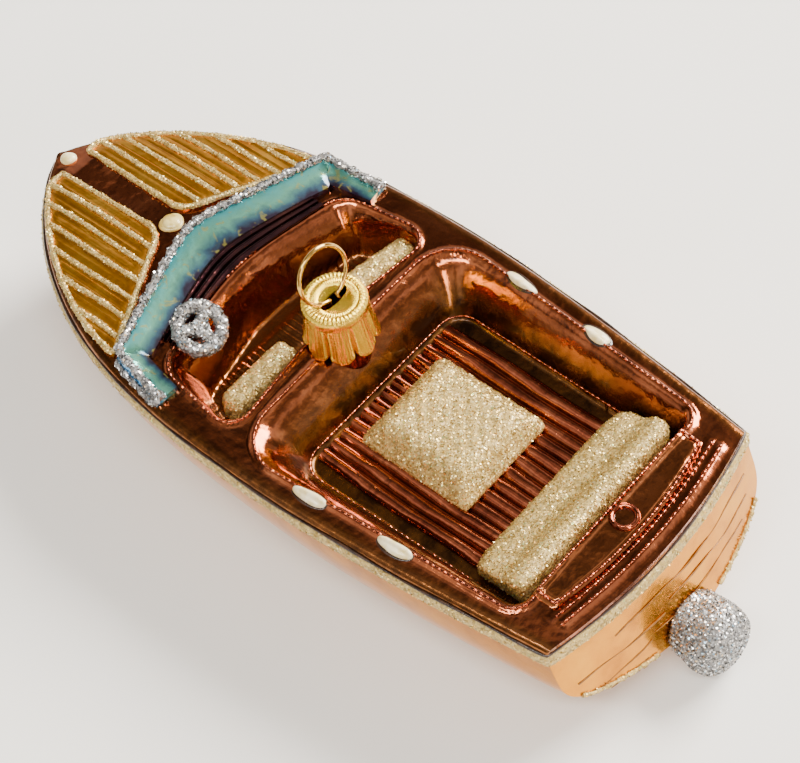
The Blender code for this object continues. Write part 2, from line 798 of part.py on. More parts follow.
def rear_floor():
    """The plank floor of the rear well, its planks running fore and aft."""
    top = []
    bottom = []
    for k in range(PLANKS * 2 + 1):
        y = (-1 + k / PLANKS) * PLANK_HALF
        rise = (0.8 if k % 2 else 0.25) * MM
        top.append([Vector((station_x(s), y, FLOOR_Z + rise)) for s in PLANK_ENDS])
        bottom.append([Vector((station_x(s), y, FLOOR_Z + GAP)) for s in PLANK_ENDS])
    return slab("rear_floor", top, bottom, "copper_lustre")


def rear_bench():
    """The stern bench, its seat lower than its back, coated with glitter."""
    seat = [(99.4, -7.2), (99.7, -3.8), (100.4, -2.8), (101.6, -2.4), (103.6, -2.3), (104.6, -1.9)]
    back = [(105.3, -0.6), (106.2, 0.3), (107.6, 0.5), (108.6, 0.0), (108.9, -1.2), (108.8, -7.2)]
    middle, base = 104.2, -7.2
    ends = ((15.6, 0.84), (15.0, 0.96), (13.8, 1.0))
    rings = []
    for sign, order in ((1, ends), (-1, tuple(reversed(ends)))):
        for half, shrink in order:
            ring = []
            for station, height in seat + back:
                along = middle + (station - middle) * shrink
                level = base + (height - base) * shrink
                spread = 0.16 * (level - base)
                across = sign * (half + spread) * MM
                ring.append(Vector((station_x(along * MM), across, DECK_Z + level * MM)))
            rings.append(ring)
    return stacked("rear_bench", rings, "cream_glitter")


def aft_deck_panel():
    """The raised plate across the stern deck, pierced for the vent."""
    grids = []
    for rise in (0.9 * MM, GAP):
        grid = []
        for k in range(13):
            y = (-1 + k / 6) * AFT_PANEL_HALF
            bow = 2.2 * MM * (y / (17 * MM)) ** 2
            stations = (110.2 * MM, 110.7 * MM, 115.5 * MM - bow, 116.0 * MM - bow)
            rises = (0.35, 1.0, 1.0, 0.35) if rise > GAP else (1.0, 1.0, 1.0, 1.0)
            grid.append([on_deck(s, y, rise * part) for s, part in zip(stations, rises)])
        grids.append(grid)
    panel = slab("aft_deck_panel", *grids, "copper_lustre")
    profile = [(VENT_HOLE, -5 * MM), (VENT_HOLE, 5 * MM)]
    hole = turned("vent_seat", profile, on_deck(VENT_STATION, 0, 0), "copper_lustre")
    combine(panel, hole, "DIFFERENCE")
    return panel


def vent_ring():
    """The round vent on the stern deck: a raised ring round a hole."""
    profile = [(1.35, 0.12), (2.05, 0.12), (2.15, 0.8), (1.9, 1.35), (1.6, 1.4), (1.35, 1.1)]
    centre = Vector((station_x(VENT_STATION), 0, DECK_Z + AFT_DECK_CROWN))
    profile = [(radius * MM, z * MM) for radius, z in profile]
    return ring_of("vent_ring", profile, centre, "copper_lustre", 24)


def outdrive():
    """The glitter-coated stern drive: a blunt knob seated on the foot of the transom."""
    profile = [(5.4, 6.3), (5.6, 7.2), (5.5, 8.8), (4.9, 10.5), (3.7, 11.6), (2.0, 12.1), (0.7, 12.2)]
    sides = 20
    rings = []
    for radius, reach in [(5.0, None), *profile]:
        ring = []
        for k in range(sides):
            turn = 2 * math.pi * k / sides
            y = radius * MM * math.cos(turn)
            z = OUTDRIVE_Z + radius * MM * math.sin(turn)
            if reach is None:
                station = LENGTH + TRANSOM_LEAN * (SEAM_Z - z) / TRANSOM_DEPTH + GAP
            else:
                station = LENGTH + reach * MM
            ring.append(Vector((station_x(station), y, z)))
        rings.append(ring)
    return stacked("outdrive", rings, "silver_glitter")


# Cap and hanger


def cap_ring(radius, height, flare):
    """One ring of the cap round the neck's axis, waved into eight petals where it flares."""
    ring = []
    for k in range(48):
        turn = 2 * math.pi * k / 48
        reach = radius + flare * abs(math.cos(4 * turn))
        ring.append(Vector((reach * math.cos(turn), reach * math.sin(turn), height)))
    return ring


def crown_cap():
    """The stamped metal cap over the neck, a thin cup with a flared petal skirt."""
    top = CAP_TOP
    skirt = 1.0 * MM
    outside = [
        (CAP_RADIUS - 0.1 * MM, skirt, 0.8 * MM),
        (CAP_RADIUS - 0.2 * MM, skirt + 2.5 * MM, 0.55 * MM),
        (CAP_RADIUS - 0.35 * MM, skirt + 5.0 * MM, 0.2 * MM),
        (CAP_RADIUS - 0.3 * MM, top - 2.0 * MM, 0.0),
        (CAP_RADIUS, top - 1.4 * MM, 0.0),
        (CAP_RADIUS, top - 0.4 * MM, 0.0),
        (CAP_RADIUS - 0.5 * MM, top, 0.0),
        (CAP_RADIUS - 1.2 * MM, top, 0.0),
        (CAP_RADIUS - 1.6 * MM, top - 0.35 * MM, 0.0),
    ]
    inside = [
        (CAP_RADIUS - 0.1 * MM - CAP_SHEET, skirt, 0.8 * MM),
        (CAP_RADIUS - 0.2 * MM - CAP_SHEET, skirt + 2.5 * MM, 0.55 * MM),
        (CAP_RADIUS - 0.35 * MM - CAP_SHEET, skirt + 5.0 * MM, 0.2 * MM),
        (CAP_RADIUS - 0.3 * MM - CAP_SHEET, top - 0.95 * MM, 0.0),
    ]
    rings = [cap_ring(*row) for row in reversed(outside)] + [cap_ring(*row) for row in inside]
    cap = stacked("crown_cap", rings, "stamped_brass")
    half_length, half_width = 2.6 * MM, 0.9 * MM
    slot = []
    for height in (top - 3 * MM, top + 2 * MM):
        ring = []
        for k in range(16):
            turn = 2 * math.pi * k / 16
            across, along = half_width * math.cos(turn), half_length * math.sin(turn)
            ring.append(Vector((across, along, height)))
        slot.append(ring)
    cutter = stacked("cap_slot", slot, "stamped_brass")
    combine(cap, cutter, "DIFFERENCE")
    cap.location = neck_foot()
    cutter.location = neck_foot()
    return cap


def hanger_wire():
    """The wire hanger: a loop that leans forward, and two short legs through the cap's slot."""
    up = Vector((math.sin(LOOP_LEAN), 0, math.cos(LOOP_LEAN)))
    side = Vector((0, 1, 0))
    centre = LOOP_RADIUS + LOOP_RAISE
    leg = [(1.3 * MM, -LEG_LENGTH), (1.1 * MM, -LEG_LENGTH / 2)]
    opening = 10
    loop = []
    for k in range(33):
        turn = math.radians(-90 + opening + (360 - 2 * opening) * k / 32)
        loop.append((LOOP_RADIUS * math.cos(turn), centre + LOOP_RADIUS * math.sin(turn)))
    line = leg + loop + [(-y, v) for y, v in reversed(leg)]
    points = [side * y + up * v for y, v in line]
    wire = tube("hanger_wire", points, WIRE_RADIUS, "brass_wire")
    wire.location = neck_foot() + Vector((0, 0, CAP_TOP - 0.6 * MM))
    return wire


def main():
    """Builds every piece in an empty scene."""
    for old in list(bpy.data.objects):
        bpy.data.objects.remove(old)
    hull_shell()
    deck_shell()
    neck()
    sheer_stripe()
    transom_trims()
    foredeck_panel("port", 1)
    foredeck_panel("starboard", -1)
    deck_lights()
    cleats()
    windscreen()
    windscreen_edge()
    dash()
    steering_wheel()
    front_seats()
    rear_floor()
    engine_box()
    rear_bench()
    aft_deck_panel()
    vent_ring()
    outdrive()
    crown_cap()
    hanger_wire()


main()
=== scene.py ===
# %% [markdown]
# # A blown-glass motorboat ornament, lesson in cells
# This is a Christmas tree ornament, about 13 cm long: a runabout boat blown into a mould, silvered
# inside, lacquered in copper and gold, and trimmed by hand with glitter in glue. A metal cap with
# a wire loop closes the neck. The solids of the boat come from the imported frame, and this lesson
# builds the surfaces that the eye sees, in the same place and at the same size.

import math
import random

import bmesh
import bpy
import numpy as np
from mathutils import Matrix, Vector


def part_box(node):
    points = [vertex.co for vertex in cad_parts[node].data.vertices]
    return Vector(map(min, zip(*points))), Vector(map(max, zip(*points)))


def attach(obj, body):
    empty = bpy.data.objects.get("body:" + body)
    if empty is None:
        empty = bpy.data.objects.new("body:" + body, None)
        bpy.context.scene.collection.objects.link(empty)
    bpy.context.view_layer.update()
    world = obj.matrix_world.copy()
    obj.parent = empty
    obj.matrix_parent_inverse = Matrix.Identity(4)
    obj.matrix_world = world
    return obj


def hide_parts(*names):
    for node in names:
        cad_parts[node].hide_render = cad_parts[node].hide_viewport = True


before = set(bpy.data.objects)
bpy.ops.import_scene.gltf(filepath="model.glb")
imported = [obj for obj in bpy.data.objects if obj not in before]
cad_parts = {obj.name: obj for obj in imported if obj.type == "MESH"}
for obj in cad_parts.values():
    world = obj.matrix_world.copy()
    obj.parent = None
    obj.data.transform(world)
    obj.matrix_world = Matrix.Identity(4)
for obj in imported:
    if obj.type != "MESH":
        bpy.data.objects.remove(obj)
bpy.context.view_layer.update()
MM = 0.001

# %% [markdown]
# The camera comes first. A photo of a symmetrical boat gives the viewpoint away: pairs of features
# on both sides of the centreline fix the direction, and the way the far end shrinks fixes the
# distance. A long lens close to the floor line would look flat, so the distance matters here.

# %% Camera
IMAGE_WIDTH_PX = 800
FOCAL_PX = 2210
SENSOR_MM = 36.0
CAMERA_AZIMUTH = math.radians(140.4)
CAMERA_ELEVATION = math.radians(54.5)
CAMERA_ROLL = math.radians(-11.4)
AIM_OFFSET = Vector((9.2 * MM, -6.8 * MM, 323.0 * MM))
DECK_MIDDLE = Vector((5.825 * MM, 0, 21.8 * MM))


def place_camera():
    """Stands the camera where the photograph was taken from."""
    turn, rise = CAMERA_AZIMUTH, CAMERA_ELEVATION
    back = Vector((math.cos(turn) * math.cos(rise), math.sin(turn) * math.cos(rise), math.sin(rise)))
    side = Vector((-math.sin(turn), math.cos(turn), 0))
    up = back.cross(side)
    right = side * math.cos(CAMERA_ROLL) + up * math.sin(CAMERA_ROLL)
    over = up * math.cos(CAMERA_ROLL) - side * math.sin(CAMERA_ROLL)
    axes = Matrix((right, over, back)).transposed()
    data = bpy.data.cameras.new("camera")
    data.sensor_width = SENSOR_MM
    data.lens = FOCAL_PX / IMAGE_WIDTH_PX * SENSOR_MM
    data.clip_start = 0.01
    camera = bpy.data.objects.new("camera", data)
    bpy.context.scene.collection.objects.link(camera)
    camera.matrix_world = Matrix.Translation(DECK_MIDDLE + axes @ AIM_OFFSET) @ axes.to_4x4()
    bpy.context.scene.camera = camera
    return camera


print("camera stands at", [round(v, 3) for v in place_camera().location])

# %% [markdown]
# ## Lines of the boat
# A boat is drawn from a few lines: the half beam along the deck, the depth of the keel, and how
# square each section is. One could push vertices about by eye, but formulas keep every piece on
# the same curves. Stations are measured aft from the bow tip.

# %% Lines
LENGTH = 120.0 * MM
HALF_BEAM = 26.8 * MM
WIDEST = 65.0 * MM
STERN_HALF = 22.0 * MM
STERN_BULGE = 3.0 * MM
HULL_DEPTH = 21.8 * MM
TRANSOM_DEPTH = 16.8 * MM
TRANSOM_LEAN = 5.0 * MM
TRANSOM_VEE = 0.3
DECK_Z = HULL_DEPTH
SEAM_Z = DECK_Z - 1.9 * MM
BOW_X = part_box("deck_shell")[1].x + 0.22 * MM
WELL_DEPTH = 7.4 * MM
FLOOR_Z = DECK_Z - WELL_DEPTH


def x_at(station):
    """Distance along the boat's own axis of a station aft of the bow tip."""
    return BOW_X - station


def half_beam(station):
    """Half the width of the deck."""
    fore = np.clip(station / WIDEST, 0, 1)
    bow = HALF_BEAM * (1 - (1 - fore) ** 2.8) ** 0.75
    aft = np.clip((station - WIDEST) / (LENGTH - STERN_BULGE - WIDEST), 0, 1)
    return np.where(station < WIDEST, bow, HALF_BEAM - (HALF_BEAM - STERN_HALF) * aft**1.6)


def keel_depth(station):
    """Depth of the keel under the seam between hull and deck."""
    full = HULL_DEPTH - (DECK_Z - SEAM_Z) + 0.5 * MM
    if station < 34 * MM:
        return full * (1 - (1 - station / (34 * MM)) ** 2.3) ** (1 / 2.3)
    aft = max(station - 78 * MM, 0.0) / (LENGTH - 78 * MM)
    return full - (HULL_DEPTH + 0.5 * MM - TRANSOM_DEPTH) * aft**1.7


def stern_station(y, drop):
    """Station of the stern, which is bowed in plan and leans aft towards its foot."""
    lean = TRANSOM_LEAN * np.clip(drop / TRANSOM_DEPTH, 0, 1)
    return LENGTH + lean - STERN_BULGE * (y / STERN_HALF) ** 2


def section_drop(station, share):
    """Depth under the seam at a share of the half beam."""
    along = station / LENGTH
    power = 2.0 + 1.5 * along**1.3 + 3.0 * along**8
    aft = min(max((station - 78 * MM) / (LENGTH - 78 * MM), 0.0), 1.0)
    curve = max(1 - abs(share) ** power, 0.0) ** (1 / power)
    drop = keel_depth(station) * curve * (1 - TRANSOM_VEE * aft * abs(share))
    return min(drop, SEAM_Z)


def deck_height(station, y):
    """Height of the deck's own surface, before the wells and ridges."""
    half = np.maximum(half_beam(station), 0.3 * MM)
    radius = np.minimum(1.2 * MM, 0.7 * half)
    flat = half - radius
    over = np.clip(np.abs(y) - flat, 0, radius)
    crown = 0.5 * MM + 0.8 * MM * np.exp(-(((station - 24 * MM) / (24 * MM)) ** 2))
    dome = crown * np.minimum(1.0, station / (6 * MM)) * np.clip(1 - (y / flat) ** 2, 0, 1)
    return DECK_Z + dome - radius + np.sqrt(np.maximum(radius**2 - over**2, 0))


print("bow tip at", round(BOW_X / MM, 2), "mm, beam", round(float(half_beam(WIDEST)) * 2 / MM, 1), "mm")

# %% [markdown]
# ## Finishes
# Each finish is a node material. The helper below adds one node, sets it and links it, so that a
# material reads as a list of steps. Colours are typed as sRGB hex values, as a painter's chart
# gives them, and turned to the linear values that the renderer works in.

# %% Helpers for materials
def linear(hex_colour):
    """An sRGB hex colour as linear RGBA."""
    parts = [int(hex_colour[i : i + 2], 16) / 255 for i in (1, 3, 5)]
    return [c / 12.92 if c <= 0.04045 else ((c + 0.055) / 1.055) ** 2.4 for c in parts] + [1.0]


def add(tree, kind, links=None, **settings):
    """Adds one node with its settings, and links its inputs to the outputs given."""
    made = tree.nodes.new(kind)
    inputs = settings.pop("inputs", {})
    stops = settings.pop("stops", None)
    for key, value in settings.items():
        setattr(made, key, value)
    for key, value in inputs.items():
        made.inputs[key].default_value = value
    if stops:
        ramp = made.color_ramp
        while len(ramp.elements) < len(stops):
            ramp.elements.new(0.5)
        for element, (place, colour) in zip(ramp.elements, stops):
            element.position = place
            element.color = linear(colour)
    for key, output in (links or {}).items():
        tree.links.new(output, made.inputs[key])
    return made


def new_finish(name, roughness, metallic=0.0, **sockets):
    """A material with its shader, and the point on the boat in millimetres for patterns."""
    made = bpy.data.materials.new(name)
    made.use_nodes = True
    tree = made.node_tree
    shader = tree.nodes["Principled BSDF"]
    shader.inputs["Roughness"].default_value = roughness
    shader.inputs["Metallic"].default_value = metallic
    for key, value in sockets.items():
        shader.inputs[key.replace("_", " ")].default_value = value
    place = add(tree, "ShaderNodeTexCoord").outputs["Object"]
    in_mm = add(tree, "ShaderNodeVectorMath", {0: place}, operation="SCALE", inputs={"Scale": 1 / MM})
    return made, tree, shader, in_mm.outputs[0]


print("a mid copper is", [round(v, 3) for v in linear("#8A4630")[:3]], "in linear light")

# %% [markdown]
# ### Copper lacquer on silvered glass
# The deck is clear glass, silvered inside like a mirror and sprayed with transparent copper-brown
# lacquer, then rubbed with a dark wash that stays in the hollows. The same dark colour is also laid
# on as painted shade, deep in the wells, between the floor's ribs and along the deck's rolled edge.
# To the eye it is a tinted mirror: nearly all of its look is reflections, which bend where the glass
# is uneven. So it is made as a metal of copper colour, smooth, with a slow bump of a few millimetres.

# %% Copper, gold and amber lacquer
WAVE_MM = 3.2
RIPPLE_MM = 0.9
CLOUD_MM = 5.5
PATCH_MM = 4.2


def lustre_lacquer(name, bright, mid, dark, aged, wash_and_shade, roughness, wash_and_shade_share, ripple):
    """Transparent lacquer over silvered blown glass, amber in its hollows, and darkened there by a wash that
    is partly painted shade.
    """
    made, tree, shader, point = new_finish(name, roughness, 1.0, Coat_Weight=0.22, Coat_Roughness=0.04)
    clouds = add(
        tree, "ShaderNodeTexNoise", {"Vector": point},
        inputs={"Scale": 1 / CLOUD_MM, "Detail": 4.0, "Roughness": 0.6},
    )
    tint = add(
        tree, "ShaderNodeValToRGB", {"Fac": clouds.outputs["Fac"]},
        stops=[(0.30, dark), (0.50, mid), (0.72, bright)],
    )
    specks = add(
        tree, "ShaderNodeTexNoise", {"Vector": point},
        inputs={"Scale": 1 / PATCH_MM, "Detail": 7.0, "Roughness": 0.68, "Distortion": 0.4},
    )
    hollow = add(tree, "ShaderNodeAttribute", attribute_name="wash_and_shade")
    old = add(
        tree, "ShaderNodeMix", {"Factor": hollow.outputs["Fac"], 6: tint.outputs[0]},
        data_type="RGBA", inputs={7: linear(aged)},
    )
    # Where the mask is high the dark colour is mixed in: a wash in the hollows, and painted shade in the
    # wells, the floor's grooves and under the deck's edge.
    stain_and_shade = add(
        tree, "ShaderNodeMath", {0: hollow.outputs["Fac"], 1: specks.outputs["Fac"]},
        operation="MULTIPLY_ADD", inputs={2: -0.30},
    )
    share = add(
        tree, "ShaderNodeMapRange", {"Value": stain_and_shade.outputs[0]},
        inputs={"From Min": -0.12, "From Max": 0.16, "To Min": 0.0, "To Max": wash_and_shade_share},
    )
    mixed = add(
        tree, "ShaderNodeMix", {"Factor": share.outputs[0], 6: old.outputs[2]},
        data_type="RGBA", inputs={7: linear(wash_and_shade)},
    )
    tree.links.new(mixed.outputs[2], shader.inputs["Base Color"])
    blur = add(
        tree, "ShaderNodeMapRange", {"Value": share.outputs[0]},
        inputs={"To Min": roughness, "To Max": roughness + 0.22},
    )
    tree.links.new(blur.outputs[0], shader.inputs["Roughness"])
    wave = add(
        tree, "ShaderNodeTexNoise", {"Vector": point}, inputs={"Scale": 1 / WAVE_MM, "Detail": 2.0}
    )
    small = add(
        tree, "ShaderNodeTexNoise", {"Vector": point}, inputs={"Scale": 1 / RIPPLE_MM, "Detail": 2.0}
    )
    height = add(
        tree, "ShaderNodeMath", {0: small.outputs["Fac"], 2: wave.outputs["Fac"]},
        operation="MULTIPLY_ADD", inputs={1: 0.18},
    )
    bump = add(
        tree, "ShaderNodeBump", {"Height": height.outputs[0]},
        inputs={"Strength": ripple, "Distance": 0.4 * MM},
    )
    tree.links.new(bump.outputs[0], shader.inputs["Normal"])
    return made


COPPER = lustre_lacquer(
    "copper_lacquer_on_silvered_glass",
    "#C8714A", "#A65436", "#783722", "#A86E30", "#190C06", 0.13, 0.92, 0.46,
)
GOLD = lustre_lacquer(
    "gold_lacquer_on_silvered_glass",
    "#EAA01C", "#DC8E14", "#B96F0C", "#B4761E", "#4A2C10", 0.22, 0.7, 0.20,
)
AMBER = lustre_lacquer(
    "amber_lacquer_on_silvered_glass",
    "#FFC24A", "#EDA22C", "#B4701A", "#D08A24", "#4A280C", 0.30, 0.62, 0.6,
)
print("lacquers:", COPPER.name, GOLD.name, AMBER.name)

# %% [markdown]
# ### Blue-green lustre
# The windscreen is painted with a lustre, a film so thin that its colour shifts like oil on water.
# A colour ramp over a stretched noise gives the worm-like streaks of blue, green and yellow, and a
# second noise breaks in the black crackle. The ramp also runs across the section, so it paints a
# pale cyan highlight along the crest, and it darkens towards the inner foot.

# %% Lustre of the windscreen
def teal_lustre():
    """An iridescent blue-green film on silvered glass."""
    made, tree, shader, point = new_finish(
        "blue_green_lustre_film_on_glass", 0.16, 0.7, Coat_Weight=0.7, Coat_Roughness=0.05
    )
    warp = add(
        tree, "ShaderNodeTexNoise", {"Vector": point},
        inputs={"Scale": 1 / 3.4, "Detail": 4.0, "Distortion": 0.8},
    )
    across = add(tree, "ShaderNodeAttribute", attribute_name="wash_and_shade")
    uneven = add(
        tree, "ShaderNodeMath", {0: warp.outputs["Fac"], 2: across.outputs["Fac"]},
        operation="MULTIPLY_ADD", inputs={1: 0.22},
    )
    # Across the section, the near-white stop falls on the crest as a painted highlight, and the darkest stops
    # fall towards the inner foot.
    tint = add(
        tree, "ShaderNodeValToRGB", {"Fac": uneven.outputs[0]},
        stops=[
            (0.30, "#3E8FC8"), (0.48, "#5CC8F0"), (0.54, "#C8F6FF"), (0.60, "#3FB4E0"),
            (0.66, "#3E9FA8"), (0.84, "#62A48C"), (0.94, "#35566A"), (1.0, "#24162E"),
        ],
    )
    pools = add(
        tree, "ShaderNodeTexNoise", {"Vector": point},
        inputs={"Scale": 1 / 1.7, "Detail": 2.0, "Distortion": 1.2},
    )
    yellow = add(
        tree, "ShaderNodeMapRange", {"Value": pools.outputs["Fac"]},
        inputs={"From Min": 0.60, "From Max": 0.68, "To Max": 0.55},
    )
    pooled = add(
        tree, "ShaderNodeMix", {"Factor": yellow.outputs[0], 6: tint.outputs[0]},
        data_type="RGBA", inputs={7: linear("#A39B45")},
    )
    crackle = add(
        tree, "ShaderNodeTexNoise", {"Vector": point},
        inputs={"Scale": 1 / 0.9, "Detail": 6.0, "Roughness": 0.8, "Distortion": 0.8},
    )
    specks = add(
        tree, "ShaderNodeMapRange", {"Value": crackle.outputs["Fac"]},
        inputs={"From Min": 0.62, "From Max": 0.68, "To Max": 0.8},
    )
    dark = add(
        tree, "ShaderNodeMix", {"Factor": specks.outputs[0], 6: pooled.outputs[2]},
        data_type="RGBA", inputs={7: linear("#1B2E30")},
    )
    tree.links.new(dark.outputs[2], shader.inputs["Base Color"])
    ripple = add(
        tree, "ShaderNodeTexNoise", {"Vector": point}, inputs={"Scale": 1 / 2.4, "Detail": 2.0}
    )
    bump = add(
        tree, "ShaderNodeBump", {"Height": ripple.outputs["Fac"]},
        inputs={"Strength": 0.35, "Distance": 0.3 * MM},
    )
    tree.links.new(bump.outputs[0], shader.inputs["Normal"])
    return made


TEAL = teal_lustre()
print("lustre:", TEAL.name)

# %% [markdown]
# ### Glitter in glue
# Craft glitter is cut metal foil, here about 0.4 mm across, sprinkled on wet glue. Each flake is a
# tiny mirror at its own angle, so a few flash while their neighbours stay dark. A noise bump can't
# do that. So the flakes are real: thousands of small plates, joined in one mesh for each piece,
# over a bed of glue whose own normal is broken up by cells of the same size. The node that gives a
# random value for each island of a mesh tints every flake on its own.

# %% Glitter
FLAKE_MM = 0.30
SILVER_FLAKE_MM = 0.40


def glue_bed(name, light, deep, metallic):
    """Glue packed with glitter: each cell of a Voronoi pattern faces its own way."""
    made, tree, shader, point = new_finish(name, 0.38, metallic)
    cells = add(tree, "ShaderNodeTexVoronoi", {"Vector": point}, inputs={"Scale": 1 / FLAKE_MM})
    shade = add(
        tree, "ShaderNodeValToRGB", {"Fac": cells.outputs["Color"]},
        stops=[(0.15, deep), (0.85, light)],
    )
    tree.links.new(shade.outputs[0], shader.inputs["Base Color"])
    centred = add(
        tree, "ShaderNodeVectorMath", {0: cells.outputs["Color"]},
        operation="SUBTRACT", inputs={1: (0.5, 0.5, 0.5)},
    )
    facing = add(tree, "ShaderNodeNewGeometry").outputs["Normal"]
    tilted = add(
        tree, "ShaderNodeVectorMath", {0: centred.outputs[0], 2: facing},
        operation="MULTIPLY_ADD", inputs={1: (0.9, 0.9, 0.9)},
    )
    unit = add(tree, "ShaderNodeVectorMath", {0: tilted.outputs[0]}, operation="NORMALIZE")
    tree.links.new(unit.outputs[0], shader.inputs["Normal"])
    return made


def foil_flakes(name, stops, roughness):
    """Cut foil, each flake with its own tint."""
    made, tree, shader, _ = new_finish(name, roughness, 0.9)
    island = add(tree, "ShaderNodeNewGeometry").outputs["Random Per Island"]
    tint = add(tree, "ShaderNodeValToRGB", {"Fac": island}, stops=stops)
    tint.color_ramp.interpolation = "CONSTANT"
    tree.links.new(tint.outputs[0], shader.inputs["Base Color"])
    return made


CHAMPAGNE_BED = glue_bed("champagne_glitter_in_glue", "#D9BE78", "#9A7E40", 0.15)
CHAMPAGNE = foil_flakes(
    "champagne_foil_flakes",
    [
        (0.0, "#E0C883"), (0.24, "#CFB26A"), (0.48, "#EEDFA6"), (0.62, "#B89850"),
        (0.78, "#D8C27A"), (0.92, "#EDBE6A"), (0.97, "#BFD08A"),
    ],
    0.42,
)
SILVER_BED = glue_bed("silver_glitter_in_glue", "#B4B3B2", "#4E4D4E", 0.55)
SILVER = foil_flakes(
    "silver_foil_flakes",
    [
        (0.0, "#D2D2D2"), (0.26, "#98989A"), (0.48, "#F6F6F6"), (0.62, "#6C6C6E"),
        (0.80, "#C6C0B6"), (0.94, "#A2C4DC"), (0.98, "#E0C29A"),
    ],
    0.24,
)
print("glitter flake", FLAKE_MM, "mm")

# %% [markdown]
# ### Enamel, stamped brass and wire
# The deck lights and cleats are drops of thick cream enamel, glossy and pooled at the edge. The cap
# is thin brass sheet pressed between dies, which leaves a fine grain, and it is left bright. The
# loop is drawn wire, smoother than the cap, with faint lines along it.

# %% Enamel and metal
def cream_enamel(name, light, shade):
    """Thick glossy paint, a little yellower where it pools."""
    made, tree, shader, point = new_finish(name, 0.26, 0.0, IOR=1.5, Coat_Weight=0.3)
    pool = add(
        tree, "ShaderNodeTexNoise", {"Vector": point}, inputs={"Scale": 1 / 1.3, "Detail": 3.0}
    )
    tint = add(
        tree, "ShaderNodeValToRGB", {"Fac": pool.outputs["Fac"]},
        stops=[(0.35, shade), (0.62, light)],
    )
    tree.links.new(tint.outputs[0], shader.inputs["Base Color"])
    bump = add(
        tree, "ShaderNodeBump", {"Height": pool.outputs["Fac"]},
        inputs={"Strength": 0.3, "Distance": 0.2 * MM},
    )
    tree.links.new(bump.outputs[0], shader.inputs["Normal"])
    return made


def bright_brass(name, light, deep, roughness, grain_mm, strength):
    """Brass sheet or wire, left bright."""
    made, tree, shader, point = new_finish(name, roughness, 1.0)
    grain = add(
        tree, "ShaderNodeTexNoise", {"Vector": point},
        inputs={"Scale": 1 / grain_mm, "Detail": 4.0, "Roughness": 0.6},
    )
    tint = add(
        tree, "ShaderNodeValToRGB", {"Fac": grain.outputs["Fac"]},
        stops=[(0.3, deep), (0.62, light)],
    )
    tree.links.new(tint.outputs[0], shader.inputs["Base Color"])
    bump = add(
        tree, "ShaderNodeBump", {"Height": grain.outputs["Fac"]},
        inputs={"Strength": strength, "Distance": 0.12 * MM},
    )
    tree.links.new(bump.outputs[0], shader.inputs["Normal"])
    return made


ENAMEL = cream_enamel("cream_enamel_drop", "#FFF3CC", "#E6D08C")
YELLOW_ENAMEL = cream_enamel("yellow_enamel_edge", "#E4CE84", "#B5963F")
CAP_BRASS = bright_brass("stamped_bright_brass", "#FFE050", "#E0B02A", 0.25, 0.22, 0.45)
WIRE_BRASS = bright_brass("drawn_brass_wire", "#E3B865", "#A97C35", 0.16, 0.5, 0.12)
# Dark brown laid on as painted shade: the line under the deck edge, the rims round the cleats, and the vent's
# hole.
PAINTED_SHADE_BROWN = cream_enamel("dark_brown_painted_shade", "#3A2416", "#1E110A")
PLANK_LINE = cream_enamel("thin_brown_brush_line", "#8E5E22", "#6B4418")
print("enamel and brass:", ENAMEL.name, CAP_BRASS.name, WIRE_BRASS.name)

# %% [markdown]
# ## Building helpers
# Most pieces here are grids: rows of points that follow a formula. One helper turns a grid into a
# closed or open mesh, another sweeps a bumpy rope along a line, and a third scatters flakes. Using
# a few helpers for everything keeps the pieces short to read.

# %% Helpers for meshes
def new_piece(name, points, faces, material, body="boat", replaces=(), wash_and_shade=None, sharp=40):
    """A mesh piece that rides on a body of the frame, shaded smooth, its normals facing out."""
    mesh = bpy.data.meshes.new(name)
    mesh.from_pydata([tuple(p) for p in points], [], faces)
    if wash_and_shade is not None:
        mesh.attributes.new("wash_and_shade", "FLOAT", "POINT").data.foreach_set("value", list(wash_and_shade))
    work = bmesh.new()
    work.from_mesh(mesh)
    bmesh.ops.remove_doubles(work, verts=work.verts, dist=1e-7)
    bmesh.ops.recalc_face_normals(work, faces=work.faces)
    if work.calc_volume(signed=True) < 0:
        bmesh.ops.reverse_faces(work, faces=work.faces)
    work.to_mesh(mesh)
    work.free()
    mesh.materials.append(material)
    mesh.shade_smooth()
    mesh.set_sharp_from_angle(angle=math.radians(sharp))
    made = bpy.data.objects.new(name, mesh)
    bpy.context.scene.collection.objects.link(made)
    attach(made, body)
    if replaces:
        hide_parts(*replaces)
    return made


def loft_faces(rows, columns, start=0, across=False, along=False):
    """Quads between rows of equal count, joined across or along where they are closed."""
    faces = []
    for r in range(rows if along else rows - 1):
        for c in range(columns if across else columns - 1):
            d, n = (c + 1) % columns, (r + 1) % rows
            corners = [(r, c), (r, d), (n, d), (n, c)]
            faces.append([start + a * columns + b for a, b in corners])
    return faces


def closed_grid(top, bottom):
    """Points and faces of a closed body between an upper and a lower grid."""
    rows, columns = len(top), len(top[0])
    points = [p for grid in (top, bottom) for row in grid for p in row]
    count = rows * columns
    faces = loft_faces(rows, columns)
    faces += [[i + count for i in reversed(face)] for face in loft_faces(rows, columns)]
    rim = [c for c in range(columns)]
    rim += [r * columns + columns - 1 for r in range(1, rows)]
    rim += [(rows - 1) * columns + c for c in range(columns - 2, -1, -1)]
    rim += [r * columns for r in range(rows - 2, 0, -1)]
    for a, b in zip(rim, rim[1:] + rim[:1]):
        faces.append([b, a, a + count, b + count])
    return points, faces


def resample(line, step, closed=False):
    """Points at even steps along a line through the points given."""
    line = [Vector(p) for p in line]
    if closed:
        line.append(line[0])
    lengths = np.concatenate([[0], np.cumsum([(b - a).length for a, b in zip(line, line[1:])])])
    count = max(int(lengths[-1] / step), 4)
    at = np.linspace(0, lengths[-1], count + 1)[: count if closed else count + 1]
    values = np.array(line)
    return [Vector([np.interp(s, lengths, values[:, k]) for k in range(3)]) for s in at]


